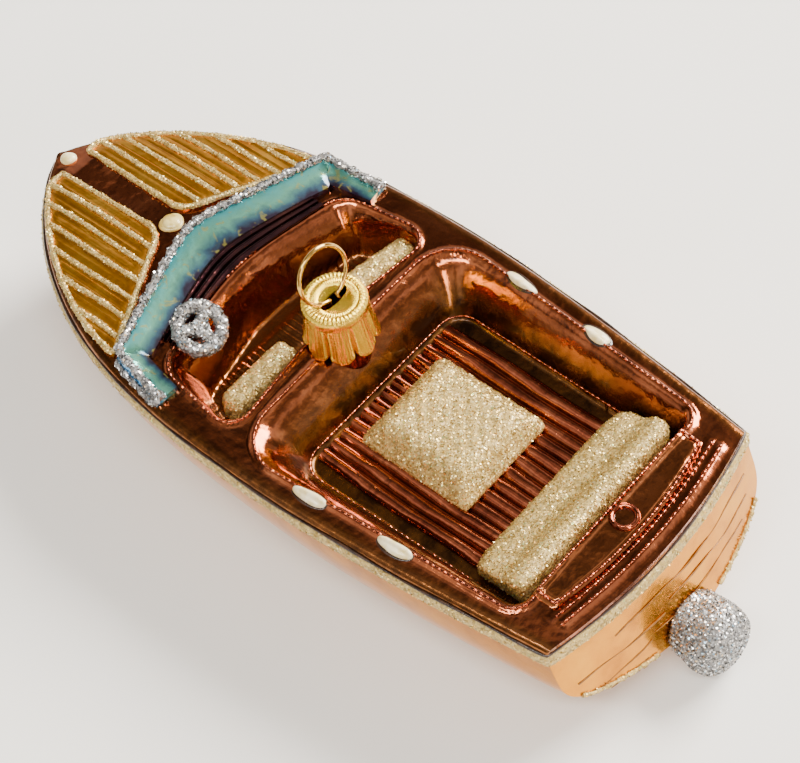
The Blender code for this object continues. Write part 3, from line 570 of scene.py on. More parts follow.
def rope(line, radius, step, sides=8, closed=False):
    """A round tube along a line, its radius given for each point by a function of the index."""
    line = resample(line, step, closed)
    points = []
    for k, p in enumerate(line):
        before = line[k - 1] if closed or k else p
        after = line[(k + 1) % len(line)] if closed or k + 1 < len(line) else p
        along = (after - before).normalized()
        side = along.cross(Vector((0, 0, 1))).normalized()
        over = side.cross(along)
        for j in range(sides):
            turn = 2 * math.pi * j / sides
            points.append(p + (side * math.cos(turn) + over * math.sin(turn)) * radius(k))
    faces = loft_faces(len(line), sides, across=True, along=closed)
    if not closed:
        faces.append(list(range(sides)))
        faces.append(list(range((len(line) - 1) * sides, len(line) * sides))[::-1])
    return points, faces


def joined(parts):
    """Several lists of points and faces as one."""
    points, faces = [], []
    for more_points, more_faces in parts:
        faces += [[i + len(points) for i in face] for face in more_faces]
        points += more_points
    return points, faces


def scatter(name, piece, per_mm2, material, body="boat", keep=None, seed=1, size=FLAKE_MM):
    """Foil flakes laid on a piece's surface, each a small six-sided plate at its own tilt."""
    rng = np.random.default_rng(seed)
    evaluated = piece.evaluated_get(bpy.context.evaluated_depsgraph_get())
    mesh = evaluated.to_mesh()
    mesh.calc_loop_triangles()
    co = np.array([v.co for v in mesh.vertices])
    corners = np.array([t.vertices for t in mesh.loop_triangles])
    evaluated.to_mesh_clear()
    a, b, c = co[corners[:, 0]], co[corners[:, 1]], co[corners[:, 2]]
    cross = np.cross(b - a, c - a)
    area = np.linalg.norm(cross, axis=1) / 2
    normal = cross / np.maximum(2 * area, 1e-18)[:, None]
    middle = (a + b + c) / 3
    wanted = np.ones(len(area), bool) if keep is None else keep(middle, normal)
    area = np.where(wanted, area, 0)
    count = int(area.sum() / MM**2 * per_mm2)
    pick = rng.choice(len(area), count, p=area / area.sum())
    u, v = rng.random(count), rng.random(count)
    flip = u + v > 1
    u, v = np.where(flip, 1 - u, u), np.where(flip, 1 - v, v)
    at = a[pick] + (b - a)[pick] * u[:, None] + (c - a)[pick] * v[:, None]
    facing = normal[pick] + rng.normal(0, 0.33, (count, 3))
    facing /= np.linalg.norm(facing, axis=1)[:, None]
    at = at + normal[pick] * rng.uniform(0.02, 0.12, (count, 1)) * MM
    side = np.cross(facing, rng.normal(0, 1, (count, 3)))
    side /= np.linalg.norm(side, axis=1)[:, None]
    over = np.cross(facing, side)
    reach = rng.uniform(0.32, 0.56, count) * size * MM
    points = np.zeros((count, 6, 3))
    for k in range(6):
        turn = math.pi * k / 3
        points[:, k] = at + (side * math.cos(turn) + over * math.sin(turn)) * reach[:, None]
    faces = [list(range(6 * k, 6 * k + 6)) for k in range(count)]
    mesh = bpy.data.meshes.new(name)
    mesh.from_pydata(points.reshape(-1, 3).tolist(), [], faces)
    mesh.materials.append(material)
    made = bpy.data.objects.new(name, mesh)
    bpy.context.scene.collection.objects.link(made)
    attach(made, body)
    print(name, count, "flakes")
    return made


print("mesh helpers ready")

# %% [markdown]
# ## Hull
# The lower half is one smooth bubble of glass, pressed against the mould. Its sections are
# superellipses, round at the bow and boxy at the stern. A lofted grid follows the formula exactly,
# and ten times finer than the frame's solid, so the highlights run without facets.

# %% Hull
HULL_ROWS = 110
HULL_COLUMNS = 64
GLASS = 1.2 * MM


def hull_rows(inset):
    """Rows of points over the hull from the bow aft, then up the transom, moved in by an inset."""
    rows = []
    for r in range(HULL_ROWS):
        share = max((r / (HULL_ROWS - 1)) ** 1.5, 0.0015 if inset == 0 else 0.02)
        half = max(float(half_beam(share * (LENGTH - STERN_BULGE))) - inset, 0.3 * MM)
        power = 2.0 + 1.5 * share**1.3 + 3.0 * share**8
        row = []
        for k in range(HULL_COLUMNS + 1):
            turn = math.pi * k / HULL_COLUMNS
            across = math.copysign(abs(math.cos(turn)) ** (2 / power), math.cos(turn))
            drop = section_drop(share * LENGTH, across)
            drop *= 1 - inset / keel_depth(share * LENGTH)
            station = share * (stern_station(half * across, drop) - inset)
            row.append(Vector((x_at(station), half * across, SEAM_Z - drop)))
        rows.append(row)
    steps = 14
    foot = rows[-1]
    for part in range(steps - 1, -1, -1):
        row = []
        for p in foot:
            drop = (SEAM_Z - p.z) * part / steps
            row.append(Vector((x_at(stern_station(p.y, drop) - inset), p.y, SEAM_Z - drop)))
        rows.append(row)
    return rows


def hull():
    """The hull from the seam down: a thin cup, like the blown glass."""
    points, faces = closed_grid(hull_rows(0.0), hull_rows(GLASS))
    # The wash is even over the hull and heavier within 6 mm under the seam, except on the transom: there it
    # paints the shade under the deck's edge.
    wash_and_shade = []
    for p in points:
        high = np.clip((p.z - SEAM_Z + 6 * MM) / (6 * MM), 0, 1)
        aft = np.clip((x_at(LENGTH) + 1 * MM - p.x) / (1 * MM), 0, 1)
        wash_and_shade.append(float(0.25 + 0.20 * high * (1 - aft)))
    return new_piece("hull_gold", points, faces, GOLD, replaces=["hull_shell"],
                     wash_and_shade=wash_and_shade, sharp=60)


HULL = hull()
print("hull faces", len(HULL.data.polygons))

# %% [markdown]
# ## Deck and wells
# Deck, cockpits and the ridge between them are one surface, so one height field makes them: for
# each point in plan, how far it is inside a well's rim decides how deep it lies. Booleans would
# leave hard edges, and blown glass has none. The same field raises the soft ridges round the rims.

# %% Outlines of the wells
def rounded(corners, radii, steps=8):
    """A closed outline in plan with each corner replaced by an arc."""
    outline = []
    for k, corner in enumerate(corners):
        corner = Vector(corner)
        before = (Vector(corners[k - 1]) - corner).normalized()
        after = (Vector(corners[(k + 1) % len(corners)]) - corner).normalized()
        half = before.angle(after) / 2
        centre = corner + (before + after).normalized() * (radii[k] / math.sin(half))
        start = corner + before * (radii[k] / math.tan(half)) - centre
        end = corner + after * (radii[k] / math.tan(half)) - centre
        sweep = start.angle_signed(end)
        for j in range(steps + 1):
            outline.append(centre + Matrix.Rotation(-sweep * j / steps, 2) @ start)
    return outline


def both_sides(corners):
    """Corners given for port, with the same ones to starboard after them."""
    return corners + [(station, -half) for station, half in reversed(corners)]


def in_plan(corners, radii, lead=None):
    """A rounded outline in metres on the boat from stations and half widths in millimetres."""
    corners = ([lead] if lead else []) + both_sides(corners)
    placed = [(x_at(station * MM), half * MM) for station, half in corners]
    return np.array([tuple(p) for p in rounded(placed, [r * MM for r in radii])])


FRONT_RIM = in_plan([(43.7, 19.5), (59.2, 21.6), (57.6, 6.0)], (45, 4, 3, 20, 20, 3, 4), (39.9, 0.0))
FRONT_FLOOR = in_plan([(48.1, 16.8), (58.7, 20.6), (57.1, 6.0)], (25, 2.2, 1.7, 11, 11, 1.7, 2.2), (44.3, 0.0))
REAR_RIM = in_plan([(62.0, 23.0), (110.0, 19.4)], (6, 2.5, 2.5, 6))
REAR_FLOOR = in_plan([(67.6, 17.4), (109.3, 16.6)], (3.3, 1.4, 1.4, 3.3))


def inside_distance(points, outline):
    """Distance of each point from an outline, positive inside it."""
    ends = np.roll(outline, -1, axis=0)
    nearest = np.full(len(points), 1e9)
    inside = np.zeros(len(points), bool)
    for a, b in zip(outline, ends):
        edge = b - a
        along = np.clip(((points - a) @ edge) / max(edge @ edge, 1e-18), 0, 1)
        nearest = np.minimum(nearest, np.linalg.norm(points - a - along[:, None] * edge, axis=1))
        crosses = (a[1] > points[:, 1]) != (b[1] > points[:, 1])
        slope = edge[0] / edge[1] if abs(edge[1]) > 1e-12 else 0.0
        inside ^= crosses & (points[:, 0] < a[0] + (points[:, 1] - a[1]) * slope)
    return np.where(inside, nearest, -nearest)


print("rear rim is", round(float(np.ptp(REAR_RIM[:, 0])) / MM, 1), "mm long")

# %% Deck surface
DECK_ROWS = 300
DECK_COLUMNS = 140
RIM_RIDGE = 0.45 * MM
STERN_RIDGE = 0.45 * MM
RIB_PITCH = 1.15 * MM


def smooth(value):
    """An S-curve from 0 to 1."""
    value = np.clip(value, 0, 1)
    return value * value * (3 - 2 * value)


def well(points, rim, floor):
    """How deep each point lies in a well, from 0 at the rim to 1 on the floor, and its rim distance."""
    to_rim = inside_distance(points, rim)
    to_floor = -inside_distance(points, floor)
    share = np.clip(to_rim / np.maximum(to_rim + np.maximum(to_floor, 0), 1e-9), 0, 1)
    wall = 0.94 * share**1.35 + 0.06 * smooth((share - 0.8) / 0.2)
    return np.where(to_rim > 0, wall, 0.0), to_rim


def ridge(distance, centre, half_width):
    """A soft ridge across a line, 1 at its middle."""
    return np.maximum(1 - ((distance - centre) / half_width) ** 2, 0) ** 1.5


def deck_top(plan):
    """Height of the glass at points in plan: deck, ridges and wells, and its wash, which is partly painted
    shade.
    """
    reach, y = BOW_X - plan[:, 0], plan[:, 1]
    station = reach / stern_station(y, 0) * (LENGTH - STERN_BULGE)
    front, front_rim = well(plan, FRONT_RIM, FRONT_FLOOR)
    rear, rear_rim = well(plan, REAR_RIM, REAR_FLOOR)
    lip = ridge(rear_rim, -0.75 * MM, 0.75 * MM) + 0.7 * ridge(front_rim, -0.6 * MM, 0.6 * MM)
    to_stern = stern_station(y, 0) - reach
    bands = ridge(to_stern, 2.0 * MM, 0.7 * MM) + 0.7 * ridge(to_stern, 3.4 * MM, 0.5 * MM)
    bands *= smooth((18.5 * MM - np.abs(y)) / (1.5 * MM))
    surface = deck_height(station, y)
    z = surface + RIM_RIDGE * np.clip(lip, 0, 1) + STERN_RIDGE * bands
    depth = np.maximum(front, rear)
    flat = np.maximum(surface, DECK_Z)
    z = np.where(depth > 0, flat - (flat - FLOOR_Z) * depth, z)
    zone = smooth((reach - 47.2 * MM) / (0.8 * MM)) * smooth((53.0 * MM - reach) / (0.8 * MM))
    ribs = np.abs(np.cos(math.pi * y / RIB_PITCH)) ** 0.8
    z += 0.35 * MM * zone * ribs * smooth((front - 0.75) / 0.2)
    # Painted shade: darker along the deck's rolled outer edge, which turns away from the light.
    edge_gap = half_beam(station) - np.abs(y)
    side = smooth((2.4 * MM - edge_gap) / (1.6 * MM)) * 0.5
    # Darker the deeper a point lies in a well: a dark wash, and painted shade in the deep wells.
    hollow = 0.42 * smooth(front * 1.4) + 0.66 * smooth(rear * 1.4)
    wash_and_shade = np.clip(0.16 + hollow + side, 0, 1)
    return z, wash_and_shade


def on_deck(places, rise=0.0):
    """Points that stand a given height over the glass, from places in plan."""
    plan = np.array([tuple(p)[:2] for p in places])
    z, _ = deck_top(plan)
    rises = np.broadcast_to(rise, len(z))
    return [Vector((x, y, high + up)) for (x, y), high, up in zip(plan, z, rises)]


def deck():
    """The deck with both wells, closed underneath inside the hull."""
    rows = []
    for r in range(DECK_ROWS):
        share = max((r / (DECK_ROWS - 1)) ** 1.35, 0.0008)
        half = float(half_beam(share * (LENGTH - STERN_BULGE)))
        k = np.linspace(-1, 1, DECK_COLUMNS)
        y = half * (0.12 * np.sin(k * math.pi / 2) + 0.88 * k)
        rows.append(np.stack([x_at(share * stern_station(y, 0)), y], 1))
    plan = np.concatenate(rows)
    z, wash_and_shade = deck_top(plan)
    low = np.minimum(z - 0.6 * MM, SEAM_Z + 0.1 * MM)
    grids = []
    for height in (z, low):
        flat = [Vector((*p, h)) for p, h in zip(plan, height)]
        grids.append([flat[r * DECK_COLUMNS : (r + 1) * DECK_COLUMNS] for r in range(DECK_ROWS)])
    points, faces = closed_grid(*grids)
    return new_piece("deck_copper", points, faces, COPPER, replaces=["deck_shell"],
                     wash_and_shade=list(wash_and_shade) * 2, sharp=70)


DECK = deck()
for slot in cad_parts["neck"].material_slots:
    slot.material = COPPER
print("deck faces", len(DECK.data.polygons))

# %% [markdown]
# ### Beaded edges
# The mould raises thin broken lines round the wells and across the stern. On mirror glass they
# show as chains of small highlights. A bump would vanish at this scale, so they are ropes: a tube
# along the edge whose radius swells and narrows every millimetre.

# %% Beads along the edges
BEAD_PITCH = 1.0 * MM
BEAD_STEP = 0.2 * MM


def beaded(k, size=0.2 * MM):
    """Radius of a beaded rope at a step along it, never quite even."""
    along = k * BEAD_STEP / BEAD_PITCH * 2 * math.pi
    return size * (1 + 0.28 * math.sin(along) + 0.18 * math.sin(along * 0.37 + 1.0))


def moved_out(outline, distance):
    """A closed outline in plan moved outward."""
    ahead, behind = np.roll(outline, -1, axis=0), np.roll(outline, 1, axis=0)
    along = ahead - behind
    along = along / np.maximum(np.linalg.norm(along, axis=1), 1e-12)[:, None]
    out = np.stack([along[:, 1], -along[:, 0]], 1)
    area = np.sum(outline[:, 0] * ahead[:, 1] - ahead[:, 0] * outline[:, 1])
    return outline + out * distance * (1 if area > 0 else -1)


def rim_beads():
    """Beads on the ridge round each well, and on the two bands across the stern."""
    parts = []
    for outline, out in ((REAR_RIM, 0.75), (FRONT_RIM, 0.6), (REAR_FLOOR, 0.3)):
        line = resample([Vector((*p, 0)) for p in moved_out(outline, out * MM)], 0.8 * MM, True)
        parts.append(rope(on_deck(line), beaded, BEAD_STEP, closed=True))
    for to_stern, half in ((2.0, 17.6), (3.4, 17.2)):
        spread = np.linspace(-half, half, 41) * MM
        line = on_deck([(x_at(float(stern_station(y, 0)) - to_stern * MM), y) for y in spread])
        parts.append(rope(line, beaded, BEAD_STEP))
    points, faces = joined(parts)
    return new_piece("edge_beads", points, faces, COPPER, sharp=80)


BEADS = rim_beads()
print("bead faces", len(BEADS.data.polygons))

# %% [markdown]
# ## Glitter band, dark line and plank lines
# A line of glue runs round the boat just under the deck edge, dusted with glitter, and over it a
# thin dark line paints the shade under the deck's rolled edge. The transom has three more dark
# lines, like the gaps between planks.
# Painted lines on real glass stand a little proud, so thin sunk ropes do for them all.

# %% Sheer stripe
def boat_outline(offset, drop, step=0.6 * MM):
    """The boat's outline a little under the deck edge, moved out, at even steps."""
    side = []
    corner = float(stern_station(STERN_HALF, drop))
    for k in range(90):
        share = max((k / 89) ** 1.5, 0.0015)
        side.append((x_at(share * corner), float(half_beam(share * (LENGTH - STERN_BULGE)))))
    stern = []
    for k in range(1, 24):
        y = STERN_HALF * (1 - k / 12)
        stern.append((x_at(float(stern_station(y, drop))), y))
    outline = np.array(side + stern + [(x, -y) for x, y in reversed(side)])
    outline = moved_out(outline, offset)
    return resample([Vector((*p, 0)) for p in outline], step, True)


def band(name, outs, drops, material, body="boat"):
    """A thin band round the boat: a closed profile of offsets and drops under the seam."""
    loops = []
    for out, drop in zip(outs, drops):
        loop = boat_outline(0.0, max(drop, 0.0))
        flat = moved_out(np.array([(p.x, p.y) for p in loop]), out)
        loops.append([Vector((*p, SEAM_Z - drop)) for p in flat])
    count = min(len(loop) for loop in loops)
    rows = [[loop[int(k * len(loop) / count)] for loop in loops] for k in range(count)]
    points = [p for row in rows for p in row]
    return points, loft_faces(count, len(loops), across=True, along=True)


points, faces = band("sheer", [v * MM for v in (-0.2, 0.30, 0.50, 0.50, 0.30, -0.2)],
                     [v * MM for v in (-0.75, -0.70, -0.35, 0.80, 1.10, 1.15)], CHAMPAGNE_BED)
STRIPE = new_piece("sheer_glitter_band", points, faces, CHAMPAGNE_BED, replaces=["sheer_stripe"],
                   sharp=60)
scatter("sheer_flakes", STRIPE, 5.0, CHAMPAGNE, seed=3,
        keep=lambda at, normal: np.abs(normal[:, 2]) < 0.9)
# A thin dark line of painted shade, just under the deck's rolled edge.
line = [Vector((p.x, p.y, SEAM_Z + (0.95 + 0.12 * math.sin(k * 0.35)) * MM))
        for k, p in enumerate(boat_outline(-0.02 * MM, 0.0, 1.2 * MM))]
points, faces = rope(line, lambda k: (0.23 + 0.07 * math.sin(k * 0.21)) * MM, 0.5 * MM, 6, closed=True)
new_piece("deck_edge_painted_shade_line", points, faces, PAINTED_SHADE_BROWN, sharp=80)

# %% Plank lines and glitter on the transom
def transom_point(y, height, out):
    """A point on the transom at a height, stood out from the glass."""
    drop = SEAM_Z - height
    return Vector((x_at(float(stern_station(y, drop)) + out), y, height))


def transom_foot(y):
    """Height of the transom's bottom edge."""
    return SEAM_Z - section_drop(LENGTH, y / STERN_HALF)


def plank_lines():
    """Three drawn lines that wander across the transom, broken in places."""
    parts = []
    runs = (
        (15.6, -19.0, 12.0, 0.11), (12.9, -18.0, 2.0, 0.10), (12.3, 3.5, 19.5, 0.12),
        (10.3, -15.5, 6.0, 0.09), (9.6, 7.0, 18.5, 0.10), (7.9, 8.5, 15.5, 0.08),
    )
    for n, (height, first, last, thick) in enumerate(runs):
        line = []
        for k in range(25):
            y = first + (last - first) * k / 24
            wander = 0.30 * math.sin(y * 0.27 + n * 1.7) + 0.08 * math.sin(y * 0.8 + n)
            line.append(transom_point(y * MM, (height + wander) * MM, 0.0))
        parts.append(rope(line, lambda k, t=thick: t * MM * (1 + 0.35 * math.sin(k * 0.2)), 0.4 * MM, 6))
    points, faces = joined(parts)
    return new_piece("transom_plank_lines", points, faces, PLANK_LINE, sharp=80)


plank_lines()
for side, sign, seed in (("port", 1, 5), ("starboard", -1, 6)):
    line = []
    for k in range(26):
        y = (7.0 + (19.6 - 7.0) * k / 25) * MM
        line.append(transom_point(sign * y, transom_foot(y) + 0.25 * MM, 0.08 * MM))
    points, faces = rope(line, lambda k: (0.30 + 0.06 * math.sin(k * 0.9)) * MM, 0.3 * MM)
    trim = new_piece("transom_glitter_" + side, points, faces, CHAMPAGNE_BED,
                     replaces=["transom_trim_" + side])
    scatter("transom_flakes_" + side, trim, 9.0, CHAMPAGNE, seed=seed)

# %% [markdown]
# ## Foredeck panels
# Each side of the foredeck has a slightly raised panel, lacquered amber. Its outline and seven
# stripes are piped in glue and dusted with glitter. Piped glue has a round section and wanders a
# little, so each line is a low rope whose width is never even, with flakes on top.

# %% Panels and stripes
PANEL_INNER = 2.4 * MM
PANEL_OUTER = 22.9 * MM
PANEL_TIP = 4.5 * MM
PANEL_MARGIN = 1.4 * MM
PANEL_RISE = 0.55 * MM
STRIPE_COUNT = 6


def panel_aft(y):
    """Station of the slanting aft edge of a panel."""
    return 25.8 * MM + 0.5 * (y - PANEL_INNER)


def panel_fore(y):
    """Station where a fore and aft line meets the curved outer edge of a panel."""
    low, high = PANEL_TIP, 36 * MM
    for _ in range(30):
        middle = (low + high) / 2
        reached = float(half_beam(middle)) - PANEL_MARGIN > y
        low, high = (low, middle) if reached else (middle, high)
    return max(high, PANEL_TIP)


def panel_outline():
    """The port panel's outline with rounded corners, as stations and half widths."""
    inner = [(PANEL_TIP, PANEL_INNER + 0.5 * MM), (PANEL_TIP - 0.3 * MM, 4.6 * MM)]
    outer = [(panel_fore(y), y) for y in np.linspace(6.2, 21.4, 16) * MM]
    corner = [(panel_aft(PANEL_OUTER) - 1.2 * MM, PANEL_OUTER - 0.35 * MM),
              (panel_aft(PANEL_OUTER) - 0.3 * MM, PANEL_OUTER - 0.9 * MM)]
    aft = [(panel_aft(y), y) for y in np.linspace(21.0, 4.2, 10) * MM]
    tail = [(panel_aft(PANEL_INNER) - 0.3 * MM, PANEL_INNER + 0.7 * MM),
            (panel_aft(PANEL_INNER) - 1.6 * MM, PANEL_INNER + 0.1 * MM)]
    return inner + outer + corner + aft + tail


def foredeck_panel(side, sign, seed):
    """One amber panel with its piped outline and stripes."""
    grids = []
    columns, lanes = 33, 81
    for rise in (PANEL_RISE, -0.2 * MM):
        places, heights = [], []
        for c in range(lanes):
            y = PANEL_INNER + (PANEL_OUTER - PANEL_INNER) * c / (lanes - 1)
            fore, aft = panel_fore(y), panel_aft(y) - (0.8 * MM if c == 0 else 0.0)
            streak = 0.10 * MM * math.sin(c * 1.9) * math.sin(c * 0.7 + seed)
            for r in range(columns):
                soft = min(r, columns - 1 - r, c // 2, (lanes - 1 - c) // 2)
                low = (0.55, 0.2, 0.05)[soft] * PANEL_RISE if soft < 3 else -streak
                places.append((x_at(fore + (aft - fore) * r / (columns - 1)), sign * y))
                heights.append(rise - (low if rise > 0 else 0.0))
        flat = on_deck(places, np.array(heights))
        grids.append([flat[c * columns : (c + 1) * columns] for c in range(lanes)])
    points, faces = closed_grid(*grids)
    rng = random.Random(seed)
    lanes_wash = [0.15 + 0.65 * rng.random() ** 2 for _ in range(lanes)]
    wash_and_shade = [lanes_wash[(i // columns) % lanes] for i in range(len(points))]
    plate = new_piece("panel_" + side, points, faces, AMBER, replaces=["foredeck_panel_" + side],
                      wash_and_shade=wash_and_shade)
    outline = on_deck([(x_at(s), sign * y) for s, y in panel_outline()], PANEL_RISE - 0.12 * MM)
    parts = [rope(outline, lambda k: (0.47 + 0.05 * math.sin(k * 0.5 + seed)) * MM, 0.4 * MM, 8, True)]
    for n in range(1, STRIPE_COUNT + 1):
        y = PANEL_INNER + (PANEL_OUTER - PANEL_INNER) * n / (STRIPE_COUNT + 1)
        fore, aft = panel_fore(y) + 0.4 * MM, panel_aft(y) - 0.4 * MM
        places = []
        for k in range(21):
            wander = 0.10 * math.sin(k * 0.33 + n * 1.3) * MM
            places.append((x_at(fore + (aft - fore) * k / 20), sign * (y + wander)))
        width = 0.42 + 0.05 * rng.random()
        line = on_deck(places, PANEL_RISE - 0.12 * MM)
        parts.append(rope(line, lambda k, w=width: w * MM * (1 + 0.10 * math.sin(k * 0.6)), 0.4 * MM))
    points, faces = joined(parts)
    glue = new_piece("panel_stripes_" + side, points, faces, CHAMPAGNE_BED)
    scatter("panel_flakes_" + side, glue, 11.0, CHAMPAGNE, seed=seed,
            keep=lambda at, normal: normal[:, 2] > -0.1)
    return plate


foredeck_panel("port", 1, 11)
foredeck_panel("starboard", -1, 12)

# %% [markdown]
# ## Lights and cleats
# These are single drops of cream enamel on the glass. A drop is domed, and a little uneven in
# plan. The lights have a yellower edge. Under each cleat a wider, low drop of dark brown paints
# the shade round the shallow recess it lies in.

# %% Enamel drops
def drop(name, station, y, size, height, material, tilt=0.0, uneven=0.06, seed=0, replaces=()):
    """A domed drop with a slightly uneven outline, standing on the glass."""
    rng = random.Random(seed)
    phase = rng.random() * 6
    places, heights = [], []
    for ring in range(9):
        share = max(math.cos(ring / 8 * math.pi / 2), 0.02)
        rise = math.sin(ring / 8 * math.pi / 2) ** 0.9
        for k in range(36):
            turn = 2 * math.pi * k / 36
            wobble = 1 + uneven * (math.sin(2 * turn + phase) + 0.6 * math.sin(3 * turn + 2 * phase))
            along = size[0] / 2 * share * math.cos(turn) * wobble
            across = size[1] / 2 * share * math.sin(turn) * wobble
            x = along * math.cos(tilt) - across * math.sin(tilt)
            places.append((x_at(station - x), y + along * math.sin(tilt) + across * math.cos(tilt)))
            heights.append(height * rise - 0.05 * MM)
    faces = loft_faces(9, 36, across=True)
    faces += [list(range(36))[::-1], list(range(8 * 36, 9 * 36))]
    return new_piece(name, on_deck(places, np.array(heights)), faces, material,
                     replaces=replaces)


drop("bow_light_drop", 2.6 * MM, 0, (2.7 * MM, 2.6 * MM), 0.95 * MM, ENAMEL, seed=1, replaces=["bow_light"])
drop("foredeck_light_edge", 26.0 * MM, 0, (3.7 * MM, 3.8 * MM), 0.65 * MM, YELLOW_ENAMEL, seed=2)
drop("foredeck_light_drop", 26.0 * MM, 0, (3.2 * MM, 3.3 * MM), 0.95 * MM, YELLOW_ENAMEL, seed=3,
     replaces=["foredeck_light"])
for where, station, half in (("fwd", 75.9 * MM, 23.2 * MM), ("aft", 90.8 * MM, 22.2 * MM)):
    for side, sign in (("port", 1), ("starboard", -1)):
        seed = station / MM * 10 + sign
        name = f"cleat_{side}_{where}"
        # A wider, low drop of dark brown under the cleat: painted shade round its recess.
        drop(name + "_seat", station, sign * half, (6.0 * MM, 2.7 * MM), 0.25 * MM, PAINTED_SHADE_BROWN,
             sign * 0.10, 0.05, seed)
        drop(name + "_drop", station, sign * half, (5.3 * MM, 2.0 * MM), 0.75 * MM, ENAMEL,
             sign * 0.06, 0.13, seed, [name])
print("drops done")

# %% [markdown]
# ## Windscreen
# The screen is a wave of glass that wraps round the cockpit, highest at the crest and falling to a
# dark foot inside. Its section has four corners on the frame's solid. Here the same four corners
# are rounded by averaging, the way glass softens over a mould.

# %% Windscreen
SCREEN_MIDDLE = 30.9 * MM
SCREEN_CORNER = (37.7 * MM, 22.6 * MM)
SCREEN_END = (47.4 * MM, 24.3 * MM)
SCREEN_DEPTH = 5.4 * MM


def screen_line(share):
    """Plan of the crest: share runs from 0 at the middle, past 1 at the corner, to 2 at the end."""
    if share <= 1.0:
        bend = math.sqrt(share**2 + 0.02) - math.sqrt(0.02)
        reach = bend / (math.sqrt(1.02) - math.sqrt(0.02))
        return SCREEN_MIDDLE + (SCREEN_CORNER[0] - SCREEN_MIDDLE) * reach, SCREEN_CORNER[1] * share
    part = share - 1.0
    station = SCREEN_CORNER[0] + (SCREEN_END[0] - SCREEN_CORNER[0]) * part
    return station, SCREEN_CORNER[1] + (SCREEN_END[1] - SCREEN_CORNER[1]) * part


def screen_corners(share, sign):
    """The section's outer foot, two crest points and inner foot."""
    station, y = screen_line(share)
    side = min(max((share - 0.86) / 0.28, 0.0), 1.0)
    fore = 1.0 - side
    height = (4.4 - 0.9 * min(share, 1.0) - 2.3 * max(share - 1.0, 0.0)) * MM
    reach = (SCREEN_DEPTH - 1.2 * MM * share) * fore + 0.6 * MM * side
    plans = (
        (station - 1.3 * MM * fore, y + 1.0 * MM * side),
        (station - 0.3 * MM * fore, y + 0.3 * MM * side),
        (station + 0.5 * MM * fore, y - 0.4 * MM * side),
        (station + reach, y - 3.0 * MM * side),
    )
    crest = DECK_Z + height - 0.4 * MM
    levels = (None, crest, crest, None)
    corners = []
    for (s, half), level, lift in zip(plans, levels, (0.3, 0, 0, 0.9)):
        foot = float(deck_height(np.array(s), np.array(half))) + lift * MM
        corners.append(Vector((x_at(s), sign * half, foot if level is None else level)))
    return corners


def softened(corners, steps=5, passes=2):
    """Points along a section with its corners rounded."""
    line = []
    for a, b in zip(corners, corners[1:]):
        line += [a.lerp(b, k / steps) for k in range(steps)]
    line.append(corners[-1])
    for _ in range(passes):
        middle = [(a + b * 2 + c) / 4 for a, b, c in zip(line, line[1:], line[2:])]
        line = [line[0], *middle, line[-1]]
    return line


def screen_rows(shares_of_side=44):
    """Sections from the port wing's end round to the starboard one."""
    shares = [2.0 * (1 - k / shares_of_side) for k in range(shares_of_side + 1)]
    rows = [softened(screen_corners(share, 1)) for share in shares]
    return rows + [softened(screen_corners(share, -1)) for share in reversed(shares[:-1])]


def windscreen():
    """The lustre glass of the screen, closed under its foot."""
    rows = screen_rows()
    low = []
    for row in rows:
        feet = [row[0].lerp(row[-1], k / (len(row) - 1)) for k in range(len(row))]
        low.append([Vector((p.x, p.y, DECK_Z - 0.2 * MM)) for p in feet])
    points, faces = closed_grid(rows, low)
    columns = len(rows[0])
    # Here the mask holds the place across the section, from outer foot to inner foot: it sets where the lustre
    # paints its highlight on the crest and where it darkens towards the inner foot.
    wash_and_shade = [0.9 * (i % columns) / (columns - 1) for i in range(len(points))]
    return new_piece("windscreen_lustre", points, faces, TEAL, replaces=["windscreen"],
                     wash_and_shade=wash_and_shade)


SCREEN = windscreen()
print("windscreen faces", len(SCREEN.data.polygons))

# %% Glitter on the windscreen
def screen_glitter():
    """Silver glitter piped along the crest, and along the feet of both wings."""
    shares = [1.97 * (1 - k / 40) for k in range(41)]
    crest = [(c[1] * 0.65 + c[2] * 0.35) for c in (screen_corners(s, 1) for s in shares)]
    crest += [(c[1] * 0.65 + c[2] * 0.35) for c in (screen_corners(s, -1) for s in reversed(shares[:-1]))]
    crest = [p + Vector((0, 0, 0.22 * MM)) for p in crest]
    parts = [rope(crest, lambda k: (0.62 + 0.12 * math.sin(k * 0.83)) * MM, 0.3 * MM)]
    for sign in (1, -1):
        foot = [screen_corners(1.02 + 0.95 * k / 14, sign)[0] + Vector((0, 0, 0.15 * MM)) for k in range(15)]
        parts.append(rope(foot, lambda k: (0.55 + 0.12 * math.sin(k * 0.9)) * MM, 0.3 * MM))
        end = [p + Vector((0, 0, 0.2 * MM)) for p in softened(screen_corners(1.97, sign))[:12]]
        parts.append(rope(end, lambda k: 0.5 * MM, 0.3 * MM))
    points, faces = joined(parts)
    glue = new_piece("windscreen_glitter", points, faces, SILVER_BED, replaces=["windscreen_edge"])
    scatter("windscreen_flakes", glue, 8.0, SILVER, seed=21,
            size=SILVER_FLAKE_MM)
    return glue


screen_glitter()

# %% [markdown]
# ## Dash
# Behind the screen three fine dark ridges follow the cockpit's edge, then comes the bright rim. A
# cosine across the lip makes the ridges, and the dark plum lacquer keeps them apart.

# %% Dash
PLUM = lustre_lacquer(
    "plum_lacquer_on_silvered_glass",
    "#6B4038", "#45262A", "#27141A", "#3A2018", "#100A0C", 0.18, 0.7, 0.6,
)
DASH_HALF = 16.4 * MM


def front_rim_station(y):
    """Station of the front well's forward rim."""
    return 39.9 * MM + 0.195 * math.hypot(y, 4.3 * MM)


